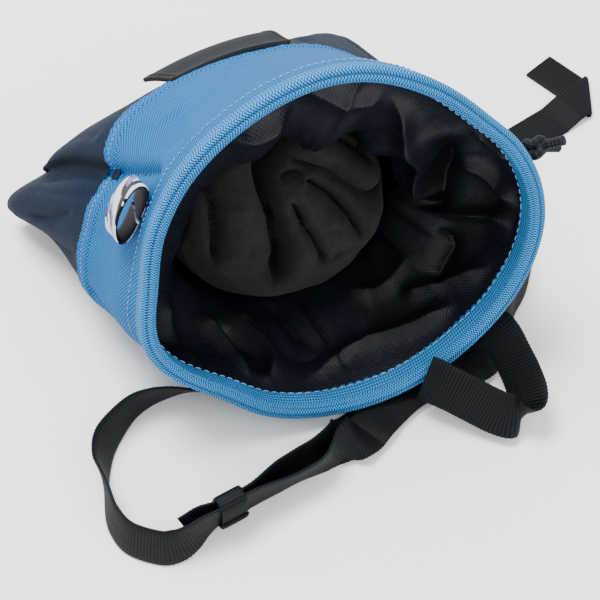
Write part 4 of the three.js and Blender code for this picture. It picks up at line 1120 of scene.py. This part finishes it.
class Fleece(Piece):
    """Crumpled fleece inside the bag."""

    COLUMNS = 420
    ROWS = 200
    GAIN = 1.25
    CUT_ROUND = 124.0
    WOBBLE = 0.03
    CREASES = (
        Crease(((0.10, 1.00), (-0.08, 0.72), (-0.22, 0.57), (-0.28, 0.34),
                (-0.27, 0.03), (-0.23, -0.31), (-0.36, -0.66)), 0.26, 9.0, -0.06, 1.5, True, 0.1),
        Crease(((-0.66, 0.90), (-0.71, 0.66), (-0.68, 0.36), (-0.72, 0.10), (-0.82, -0.30)),
               0.22, 6.0, -0.04, 1.0, True, 0.12),
        Crease(((-0.02, 0.66), (0.18, 0.54), (0.35, 0.40), (0.54, 0.18), (0.70, 0.05), (0.94, 0.07)),
               0.20, 6.5, 0.05, 1.4, True, 0.12),
        Crease(((0.08, 0.42), (0.17, 0.29), (0.33, 0.10), (0.45, -0.13), (0.53, -0.42)),
               0.18, 4.6, -0.03, 0.8, True, 0.2),
        Crease(((-0.12, 0.30), (-0.05, 0.12), (0.00, -0.08), (0.09, -0.35), (0.19, -0.58)),
               0.17, 4.2, -0.03, 0.8, True, 0.2),
        Crease(((0.22, 0.86), (0.46, 0.66), (0.66, 0.44), (0.80, 0.26)),
               0.16, 4.0, -0.03, 0.8, True, 0.2),
        Crease(((-0.55, 0.86), (-0.34, 0.72), (-0.12, 0.74)), 0.16, 3.4, 0.0, 0.6, True, 0.25),
        Crease(((-0.48, 0.30), (-0.51, 0.02), (-0.48, -0.34)), 0.14, 1.4),
        Crease(((0.30, -0.10), (0.26, -0.34), (0.32, -0.56)), 0.12, 1.3),
        Crease(((-0.14, 0.40), (-0.04, 0.50), (0.12, 0.44)), 0.12, 3.0, 0.0, 0.0, True, 0.3),
    )
    LOBES = table(
        (-0.50, 0.20, 0.34, 3.6), (0.30, -0.28, 0.34, 3.4), (0.36, 0.62, 0.24, 2.6), (0.76, 0.30, 0.20, 2.2),
        (-0.06, -0.30, 0.18, 2.2), (0.02, 0.24, 0.16, 2.6), (-0.40, -0.50, 0.26, 2.0),
        (0.62, -0.25, 0.20, 2.0),
    )

    def build(self) -> None:
        """Makes the fleece."""
        angle = np.linspace(0, TURN, self.COLUMNS + 1)[None, :]
        step = np.linspace(0, 1, self.ROWS)[:, None]
        ring = np.interp(step, [0, 0.80, 0.88, 0.94, 1.0], [0.004, 0.86, 1.0, 1.03, 0.9])
        back = smooth(ring, 0.80, 1.08) * 0.4 + smooth(step, 0.88, 1.0) * 0.6
        x, y = ring * np.cos(angle), ring * np.sin(angle)
        place = np.stack([x, y, 0 * x], -1) * self.sizes.fleece_radius
        wobble = noise(place, 13, 31, 2) * self.WOBBLE
        height, move_x, move_y = folded(x + wobble, y - wobble, self.CREASES)
        dip = -self.GAIN * height
        for at_x, at_y, spread, tall in self.LOBES:
            dip -= tall * np.exp(-((x - at_x) ** 2 + (y - at_y) ** 2) / spread**2)
        dip += 0.6 * noise(place, 8, 32, 2)
        dip *= 1 - smooth(ring, 0.85, 1.02)
        points = self.form.fleece(x + move_x, y + move_y, dip, back + 0 * x, y)
        item = self.dresser.mesh("fleece_cloth", points, place[..., :2], [FLEECE], closed=True)
        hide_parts("fleece_lining")


@dataclass
class StrapRows:
    """Rows of a strap: middle, half width across and the direction out of its face."""

    middle: np.ndarray
    across: np.ndarray
    face: np.ndarray


class Strap(Piece):
    """Ribbed webbing."""

    RIB = 1.05
    STEP = 0.2625
    WIDTH = 15.0
    THICKNESS = 1.4

    def surface(self, name: str, rows: StrapRows, thickness: float, finishes: Sequence[Finish],
                ribs: float = 0.16) -> bpy.types.Object:
        """Makes webbing through rows.

        Args:
            name: Name of the object.
            rows: Rows of the strap, close enough to carry its ribs.
            thickness: Thickness of the webbing.
            finishes: Looks of the upper side, and of the lower side if it differs.
            ribs: Height of the ribs as a share of half the thickness.

        Returns:
            The object.
        """
        place = np.array([-1, -0.985, -0.93, -0.7, -0.35, 0, 0.35, 0.7, 0.93, 0.985, 1.0])
        edge = np.sqrt(np.clip(1 - np.abs(place) ** 14, 0.0, 1)) * 0.85 + 0.15
        v = np.concatenate([place, place[::-1], place[:1]])
        side = np.concatenate([np.ones(11), -np.ones(11), np.ones(1)])
        thick = np.concatenate([edge, edge[::-1], edge[:1]])
        run = np.concatenate([[0], np.cumsum(np.linalg.norm(np.diff(rows.middle, axis=0), axis=1))])
        run = np.broadcast_to(run[:, None], (len(run), len(v)))
        wave = np.cos(run / self.RIB * TURN)
        height = thickness / 2 * thick * (1 - ribs + ribs * wave)
        half = np.linalg.norm(rows.across, axis=1)[:, None]
        line = rows.middle[:, None] + rows.across[:, None] * (v * (1 + 0.012 * (wave - 1)))[..., None]
        points = line + rows.face[:, None] * (height * side)[..., None]
        uv = np.stack([run, v * half + 0 * run], -1)
        columns = None
        if len(finishes) > 1:
            columns = (side[:-1] < 0).astype(int)
        return self.dresser.mesh(name, points, uv, finishes, closed=True, caps=True, columns=columns)

    def even(self, middle: np.ndarray, across: np.ndarray, half_width: float) -> StrapRows:
        """Spaces the rows of a strap evenly and finds its face."""
        run = np.concatenate([[0], np.cumsum(np.linalg.norm(np.diff(middle, axis=0), axis=1))])
        places = np.linspace(0, run[-1], max(int(run[-1] / self.STEP), 8))
        middle, across = (np.stack([np.interp(places, run, a[:, k]) for k in range(3)], -1)
                          for a in (middle, across))
        ahead = unit(np.gradient(middle, axis=0))
        across = unit(across - ahead * np.sum(across * ahead, axis=1, keepdims=True))
        return StrapRows(middle, across * half_width, unit(np.cross(ahead, across)))


class Belt(Strap):
    """Waist belt from its sewn end through the keeper, under the collar and round to its folded tail."""

    SPREAD = 80.0
    REACH = 55.0
    TAIL_REACH = 150.0
    TAIL_FLAP = 17.0
    TAIL_HEADING = 40.8
    TAIL_TURN = 93.0
    KEEPER_WALL = 1.3
    KEEPER_STAND = 1.05
    ROUTE = table(
        (-0.666, 0.822, 10, 0.20), (-0.610, 0.764, 4, 0.70), (-0.557, 0.727, -4, 1.00),
        (-0.505, 0.687, -8, 1.00), (-0.455, 0.644, -6, 1.00), (-0.405, 0.595, -2, 0.85),
        (-0.320, 0.476, 4, 0.10), (-0.242, 0.396, 6, 0.00), (-0.160, 0.324, 11, 0.00),
        (-0.092, 0.262, 36, 0.00), (-0.040, 0.189, 76, 0.00), (0.022, 0.102, 90, 0.00),
        (0.113, -0.033, 90, 0.00), (0.210, -0.153, 90, 0.00), (0.295, -0.247, 90, 0.00),
        (0.362, -0.353, 90, 0.00), (0.408, -0.475, 72, 0.00), (0.443, -0.567, 44, 0.00),
        (0.432, -0.662, 30, 0.00), (0.378, -0.727, 48, 0.20), (0.300, -0.695, 78, 0.70),
        (0.175, -0.571, 90, 0.85), (-0.081, -0.422, 90, 0.85), (-0.237, -0.345, 90, 0.85),
        (-0.370, -0.273, 88, 0.80), (-0.475, -0.196, 72, 0.50), (-0.562, -0.135, 50, 0.10),
        (-0.629, -0.098, 36, 0.00), (-0.714, -0.085, 26, 0.00), (-0.774, -0.067, 18, 0.00),
        (-0.836, -0.036, 10, 0.00), (-0.904, 0.024, 0, 0.00), (-0.963, 0.133, -10, 0.00),
        (-1.009, 0.265, -18, 0.00), (-1.016, 0.402, -14, 0.00), (-0.997, 0.509, -2, 0.00),
        (-0.978, 0.624, 10, 0.00), (-0.948, 0.753, 16, 0.00), (-0.880, 0.869, 19, 0.00),
        (-0.760, 0.929, 19, 0.00), (-0.694, 0.916, 17, 0.05), (-0.642, 0.876, 10, 0.35),
        (-0.593, 0.818, 0, 0.80), (-0.542, 0.767, -8, 1.00), (-0.492, 0.720, -8, 1.00),
        (-0.443, 0.676, -6, 1.00), (-0.392, 0.631, -8, 0.85), (-0.300, 0.549, -13, 0.15),
        (-0.223, 0.484, -15, 0.00), (-0.141, 0.415, -8, 0.00), (-0.075, 0.320, 14, 0.10),
        (-0.017, 0.249, 46, 0.85), (0.041, 0.156, 90, 0.90), (0.128, -0.004, 90, 0.78),
        (0.220, -0.135, 90, 0.76), (0.318, -0.215, 90, 0.80), (0.408, -0.262, 89, 0.88),
        (0.495, -0.313, 78, 0.85), (0.568, -0.389, 46, 0.20), (0.620, -0.487, 20, 0.00),
        (0.657, -0.600, 8, 0.00), (0.685, -0.720, 8, 0.00),
    )
    TAIL = table(
        (0.392, 0.331, 16), (0.412, 0.431, 24), (0.418, 0.536, 38), (0.407, 0.636, 62), (0.402, 0.718, 86),
        (0.425, 0.782, 90), (0.480, 0.828, 90), (0.536, 0.870, 90),
    )

    def route(self) -> tuple[np.ndarray, np.ndarray]:
        """Middle line and width direction of the belt up to its folded tail."""
        near = np.column_stack([self.ROUTE[:, 0] * self.SPREAD, -self.ROUTE[:, 1] * self.REACH,
                                self.ROUTE[:, 3], self.ROUTE[:, 2]])
        far = np.column_stack([self.TAIL[:, 0] * self.TAIL_REACH, self.TAIL[:, 1] * self.TAIL_REACH,
                               0 * self.TAIL[:, 0], self.TAIL[:, 2]])
        path = spline(np.vstack([near, far]), 6000)
        ahead = np.gradient(path[:, :2], axis=0)
        ahead = unit(np.column_stack([ahead, np.zeros(len(path))]))
        left = np.cross(np.array([0.0, 0.0, 1.0]), ahead)
        roll = np.radians(path[:, 3])
        across = np.array([0.0, 0.0, 1.0]) * np.cos(roll)[:, None] + left * np.sin(roll)[:, None]
        stand = self.WIDTH / 2 * np.abs(np.cos(roll)) + self.THICKNESS / 2 * np.abs(np.sin(roll))
        lift = np.maximum(path[:, 2], 0) * (self.KEEPER_WALL + self.KEEPER_STAND)
        return np.column_stack([path[:, 0], path[:, 1], stand + lift]), across

    def tail(self, last: np.ndarray, across: np.ndarray) -> StrapRows:
        """Rows of the slanted fold and the flap at the belt's end."""
        up = np.array([0.0, 0.0, 1.0])
        out = heading(np.array(self.TAIL_HEADING - 90))
        flap = heading(np.array(self.TAIL_HEADING - 90 + self.TAIL_TURN))
        beyond, crease = unit(out - flap), unit(out + flap)
        low, half = self.THICKNESS / 2, self.WIDTH / 2
        high = low + self.THICKNESS + 0.35
        radius = (high - low) / 2
        corner = last + out * self.WIDTH * 1.2
        slant = crease * np.sign(crease @ across) * half / abs(out @ beyond)
        level = corner * (1, 1, 0)
        rising = last * (1, 1, 0) + out * self.WIDTH * 0.5 + up * high
        keys = [(last, across * half, up), (rising, across * half, up),
                (level + up * high, slant, up)]
        for k in range(1, 8):
            face = up * math.cos(math.pi * k / 8) + beyond * math.sin(math.pi * k / 8)
            keys.append((level + up * (low + radius) + face * radius, slant, face))
        flat = np.cross(flap, up) * half
        flap_out = half + self.TAIL_FLAP
        keys += [(level + up * low, slant, -up), (level + up * low + flap * flap_out * 0.45, flat, -up),
                 (level + up * low + flap * flap_out, flat, -up)]
        middle, wide, face = (np.array([key[i] for key in keys]) for i in range(3))
        steps = np.linalg.norm(np.diff(middle, axis=0), axis=1)
        parts = [np.linspace(k, k + 1, max(int(step / self.STEP), 3), endpoint=False)
                 for k, step in enumerate(steps)]
        places = np.append(np.concatenate(parts), len(keys) - 1)[1:]
        order = np.arange(len(keys))
        middle, wide, face = (np.stack([np.interp(places, order, a[:, i]) for i in range(3)], -1)
                              for a in (middle, wide, face))
        return StrapRows(middle, wide, unit(face))

    def build(self) -> None:
        """Makes the belt."""
        middle, across = self.route()
        rows = self.even(middle, across, self.WIDTH / 2)
        rows.face *= np.sign(rows.face[-1, 2])
        tail = self.tail(rows.middle[-1], unit(rows.across[-1]))
        whole = StrapRows(np.vstack([rows.middle, tail.middle]), np.vstack([rows.across, tail.across]),
                          np.vstack([rows.face, tail.face]))
        item = self.surface("waist_webbing", whole, self.THICKNESS, [WEBBING])
        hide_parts("waist_belt")


class Keeper(Strap):
    """Sewn sleeve round both layers of the belt."""

    LENGTH = 9.0
    WALL = 1.3
    ROWS_HELD = (3, 44)
    ROOM = 2 * 1.4 + 6 * 0.35

    def build(self) -> None:
        """Makes the sleeve."""
        route = Belt.ROUTE
        plan = np.column_stack([route[:, 0] * Belt.SPREAD, -route[:, 1] * Belt.REACH, 0 * route[:, 0]])
        first, second = self.ROWS_HELD
        start, centre, end = ((plan[first + k] + plan[second + k]) / 2 for k in (-1, 0, 1))
        ahead = unit(end - start)
        up = np.array([0.0, 0.0, 1.0])
        left = np.cross(up, ahead)
        roll = math.radians(route[first, 2])
        across = up * math.cos(roll) + left * math.sin(roll)
        face = np.cross(ahead, across)
        centre = centre + up * (self.WIDTH / 2 * math.cos(roll) + self.WALL + Belt.KEEPER_STAND)
        tall, deep = self.WIDTH / 2 + 0.35 + self.WALL / 2, self.ROOM / 2 + self.WALL / 2
        turn = np.linspace(-0.35, TURN - 0.1, 240)
        c, s = np.cos(turn), np.sin(turn)
        size = 1 / (np.abs(c) ** 3.2 + np.abs(s) ** 3.2) ** (1 / 3.2)
        grow = np.interp(turn, [-0.35, 0.5, TURN - 1, TURN - 0.1], [0.0, 0.0, 0.0, 0.9])
        middle = (centre + face * ((deep + grow) * size * c)[:, None]
                  + across * ((tall + grow * 0.4) * size * s)[:, None])
        rows = self.even(middle, np.broadcast_to(ahead, middle.shape), self.LENGTH / 2)
        item = self.surface("keeper_sleeve", rows, self.WALL * 0.9, [WEBBING], 0.2)
        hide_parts("belt_keeper")


class HaulLoop(Strap):
    """Carrying loop on the right of the mouth."""

    ROUTE = table(
        (0.000, 0.000, 0.000, 0.66, 0.39, 0.64), (0.200, -0.131, 0.024, 0.67, 0.40, 0.63),
        (0.450, -0.241, -0.041, 0.69, 0.42, 0.59), (0.700, -0.331, -0.121, 0.71, 0.44, 0.55),
        (0.870, -0.356, -0.131, 0.71, 0.40, 0.57), (0.965, -0.261, -0.121, 0.70, 0.28, 0.64),
        (0.975, -0.111, -0.096, 0.70, 0.14, 0.69), (0.920, 0.059, -0.031, 0.68, 0.08, 0.72),
        (0.840, 0.199, 0.059, 0.63, 0.12, 0.76), (0.765, 0.330, 0.120, 0.60, 0.25, 0.74),
        (0.690, 0.420, 0.165, 0.61, 0.35, 0.70), (0.635, 0.480, 0.180, 0.61, 0.39, 0.69),
    )
    ANGLE = -66.5
    FORWARD = 3.4
    INSET = 2.2
    REACH = 34.0

    def build(self) -> None:
        """Makes the carrying loop."""
        start = self.form.cloth(0.0, self.ANGLE, self.INSET)
        _, side, rise = self.form.section(np.array(0.0))
        start = start + unit(np.cross(side, rise)) * self.FORWARD
        path = spline(self.ROUTE, 800)
        rows = self.even(start + path[:, :3] * self.REACH, path[:, 3:], self.WIDTH / 2)
        item = self.surface("haul_webbing", rows, self.THICKNESS, [WEBBING])
        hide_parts("haul_loop")


class BeltLoop(Strap):
    """Flat loop under the collar that carries the belt."""

    def build(self) -> None:
        """Makes the hidden loop."""
        ends = self.form.cloth(np.array([0.12, 0.3]), np.array([270.0, 270.0]))
        ends[:, 2] = 0.6
        middle = ends[0] + (ends[1] - ends[0]) * np.linspace(0, 1, 60)[:, None]
        side = np.broadcast_to(self.form.section(np.array(0.12))[1], middle.shape)
        rows = self.even(middle, side, 11.0)
        item = self.surface("belt_loop_webbing", rows, 1.2, [WEBBING])
        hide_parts("belt_loop")


class BrushLoop(Strap):
    """Printed tape arched over the collar's left side."""

    ALONG = 0.145
    FROM = 147.0
    TO = 165.0
    RISE = 6.4
    TAPE_WIDTH = 12.5
    TAPE = 1.1

    def build(self) -> None:
        """Makes the brush loop."""
        turn = np.linspace(0.08, TURN - 0.08, 300)
        rise = self.RISE / 2 * (1 - np.cos(turn))
        angle = (self.FROM + self.TO) / 2 - (self.TO - self.FROM) / 2 * np.sin(turn)
        middle = self.form.cloth(np.full(turn.shape, self.ALONG), angle, -(1.3 + rise))
        front, rear = (self.form.cloth(self.ALONG + step, self.FROM) for step in (-0.04, 0.04))
        across = rear - front
        rows = self.even(middle, np.broadcast_to(across, middle.shape), self.TAPE_WIDTH / 2)
        if np.sum(rows.face * (rows.middle - rows.middle.mean(axis=0))) < 0:
            rows.face *= -1
        item = self.surface("brush_tape", rows, self.TAPE, [PRINT, PRINT_BACK], 0.0)
        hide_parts("brush_loop")


class Label(Piece):
    """Plain patch on the front, with folded ends and stitches."""

    LENGTH = 41.0
    HEIGHT = 22.0
    WALL = 1.1
    CORNER = 2.2
    ROUNDED = 0.9
    FOLDED_END = 3.6
    SEAM = 2.0
    STITCH_EVERY = 2.1
    STITCH = 1.5
    THREAD = 0.2
    ALONG = 0.61
    ANGLE = 91.0
    SKEW = 3.0
    STAND = 1.2
    RISE = 3.6

    def spot(self, x: np.ndarray, y: np.ndarray, lift: np.ndarray) -> np.ndarray:
        """Points over the cloth at a place on the label in millimetres."""
        form = self.form
        middle = form.cloth(self.ALONG, self.ANGLE)
        per_degree = np.linalg.norm(form.cloth(self.ALONG, self.ANGLE - 1) - middle)
        per_share = np.linalg.norm(form.cloth(self.ALONG + 0.01, self.ANGLE) - middle) * 100
        along = self.ALONG + (y + x * self.SKEW / self.LENGTH) / per_share
        return form.cloth(along, self.ANGLE + x / per_degree, -lift)

    def tilt(self, y: np.ndarray) -> np.ndarray:
        """How far the stiff label stands off the cloth towards the foot."""
        return self.RISE * smooth(y, -self.HEIGHT / 2, self.HEIGHT / 2)

    def build(self) -> None:
        """Makes the label and its stitches."""
        half_x, half_y = self.LENGTH / 2, self.HEIGHT / 2
        a, b = np.linspace(-1, 1, 150), np.linspace(-1, 1, 90)
        x, y = np.meshgrid(a * half_x, b * half_y)
        over_x, over_y = np.abs(x) - (half_x - self.CORNER), np.abs(y) - (half_y - self.CORNER)
        over = np.hypot(np.maximum(over_x, 0), np.maximum(over_y, 0))
        cut = (over_x > 0) & (over_y > 0) & (over > self.CORNER)
        pull = np.where(cut, self.CORNER / np.maximum(over, 1e-6), 1)
        x = np.sign(x) * np.where(over_x > 0, half_x - self.CORNER + over_x * pull, np.abs(x))
        y = np.sign(y) * np.where(over_y > 0, half_y - self.CORNER + over_y * pull, np.abs(y))
        inside = np.minimum(half_x - np.abs(x), half_y - np.abs(y))
        corner = self.CORNER - np.hypot(np.maximum(np.abs(x) - half_x + self.CORNER, 0),
                                        np.maximum(np.abs(y) - half_y + self.CORNER, 0))
        inside = np.maximum(np.minimum(inside, corner), 0)
        edge = 1 - np.clip(inside / self.ROUNDED, 0, 1)
        lift = self.STAND + self.WALL * np.sqrt(1 - edge**2) - 0.5 * (inside < 1e-6)
        fold = smooth(np.abs(x), half_x - self.FOLDED_END, half_x - self.FOLDED_END + 0.4) * 0.25
        seam = 0.18 * np.exp(-(((np.abs(x) - half_x + self.SEAM) / 0.5) ** 2))
        grid = self.spot(x, y, lift + self.tilt(y) + fold * (inside > 0.3) - seam * (inside > 1))
        item = self.dresser.mesh("label_face", grid, np.stack([x, y], -1), [LABEL, LABEL_EDGE],
                                 columns=(np.abs(a[:-1]) > 0.82).astype(int))
        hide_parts("label_patch")
        self.end_stitches(half_x, half_y)

    def end_stitches(self, half_x: float, half_y: float) -> None:
        """Makes a row of stitches across each short end."""
        y = np.tile(np.arange(-half_y + 2.4, half_y - 1.6, self.STITCH_EVERY), 2)
        x = np.repeat([-1.0, 1.0], len(y) // 2) * (half_x - self.SEAM)
        lift = self.STAND + self.WALL + 0.15 + self.tilt(y)
        middles = self.spot(x, y, lift)
        ahead = self.spot(x, y + 0.3, lift) - middles
        up = self.spot(x, y, lift + 1) - middles
        self.dresser.stitches("label_stitches", middles, ahead, up, DARK_THREAD, self.STITCH, self.THREAD)


class Knot(Piece):
    """Knot in the drawcord, with two short ends."""

    ANGLE = 17.0
    ALONG = 0.05
    RADIUS = 4.4
    STAND = 1.38
    CORD = 3.0
    ENDS = ((0.75, -0.25, 0.6), (0.85, 0.35, -0.4))
    END_LENGTH = 9.5

    def build(self) -> None:
        """Makes the knot's cord."""
        centre = self.form.cloth(self.ALONG, self.ANGLE, -self.RADIUS - self.STAND)
        t = np.linspace(0.15, TURN - 0.15, 90)
        loop = np.column_stack([np.sin(t) + 2 * np.sin(2 * t), np.cos(t) - 2 * np.cos(2 * t),
                                -1.1 * np.sin(3 * t)])
        loop *= (self.RADIUS - self.CORD / 2) / 3
        ends = [unit(np.array(way)) for way in self.ENDS]
        first = ends[0] * np.linspace(self.END_LENGTH, self.RADIUS * 0.7, 14)[:, None]
        last = ends[1] * np.linspace(self.RADIUS * 0.7, self.END_LENGTH, 14)[:, None]
        path = spline(np.vstack([first[::4], loop[4:-4:6], last[::4]]), 260)
        item = self.dresser.tube("knot_cord", centre + path, self.CORD / 2, CORD)
        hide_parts("drawcord_knot")


class Studio:
    """Floor, light and camera."""

    CAMERA = (-0.00476, -0.27119, 0.37364)
    TILT = 35.0
    LENS = 78.0
    SENSOR = 36.0
    TARGET = (0.0, 0.0, 0.03)
    FLOOR = 6.0
    WHITE = 0.95
    SKY = 1.35

    def build(self) -> None:
        """Makes the studio."""
        self.floor()
        self.light("key_light", (-0.25, 0.15, 0.9), 0.4, 16.0)
        self.light("fill_light", (0.55, -0.45, 0.7), 0.6, 3.5)
        self.world()
        self.camera()

    def floor(self) -> None:
        """Makes the pale floor."""
        bpy.ops.object.select_all(action="DESELECT")
        bpy.ops.mesh.primitive_plane_add(size=self.FLOOR, location=(0, 0, 0))
        item = bpy.context.active_object
        item.name = "studio_floor"
        shader = Shader("floor_white")
        shader.feed(shader.surface.inputs["Base Color"], (self.WHITE,) * 3 + (1.0,))
        shader.feed(shader.surface.inputs["Roughness"], 0.9)
        item.data.materials.append(shader.material)

    def light(self, name: str, where: Sequence[float], size: float, power: float) -> None:
        """Adds a soft square lamp that faces the bag."""
        data = bpy.data.lights.new(name, "AREA")
        data.size = size
        data.energy = power
        item = bpy.data.objects.new(name, data)
        bpy.context.scene.collection.objects.link(item)
        item.location = where
        away = np.array(where) - np.array(self.TARGET)
        flat = math.hypot(away[0], away[1])
        item.rotation_euler = (math.atan2(flat, away[2]), 0, math.atan2(away[1], away[0]) + math.pi / 2)

    def world(self) -> None:
        """Makes the even white surroundings."""
        world = bpy.data.worlds.new("studio_white")
        world.use_nodes = True
        back = world.node_tree.nodes["Background"].inputs
        back["Color"].default_value = (1.0, 1.0, 1.0, 1.0)
        back["Strength"].default_value = self.SKY
        bpy.context.scene.world = world

    def camera(self) -> None:
        """Puts the camera where the photograph was taken."""
        data = bpy.data.cameras.new("photo_camera")
        data.lens = self.LENS
        data.sensor_width = self.SENSOR
        item = bpy.data.objects.new("photo_camera", data)
        bpy.context.scene.collection.objects.link(item)
        item.location = self.CAMERA
        item.rotation_euler = (math.radians(self.TILT), 0, 0)
        bpy.context.scene.camera = item


PIECES = (Body, Collar, Rim, Skirt, Fleece, Belt, Keeper, HaulLoop, BeltLoop, BrushLoop, Label, Knot)


def corners(box) -> list[list[float]]:
    """A box's two corners as plain lists."""
    return [list(corner) for corner in box]


def main() -> None:
    """Dresses the bag."""
    logging.basicConfig(level=logging.INFO)
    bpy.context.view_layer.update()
    Studio().build()
    dresser = Dresser(BagForm(BagSizes()))
    logger.info("shift of the bag's frame: %s", dresser.shift.round(3))
    for kind in PIECES:
        kind(dresser).build()


if __name__ == "__main__":
    main()
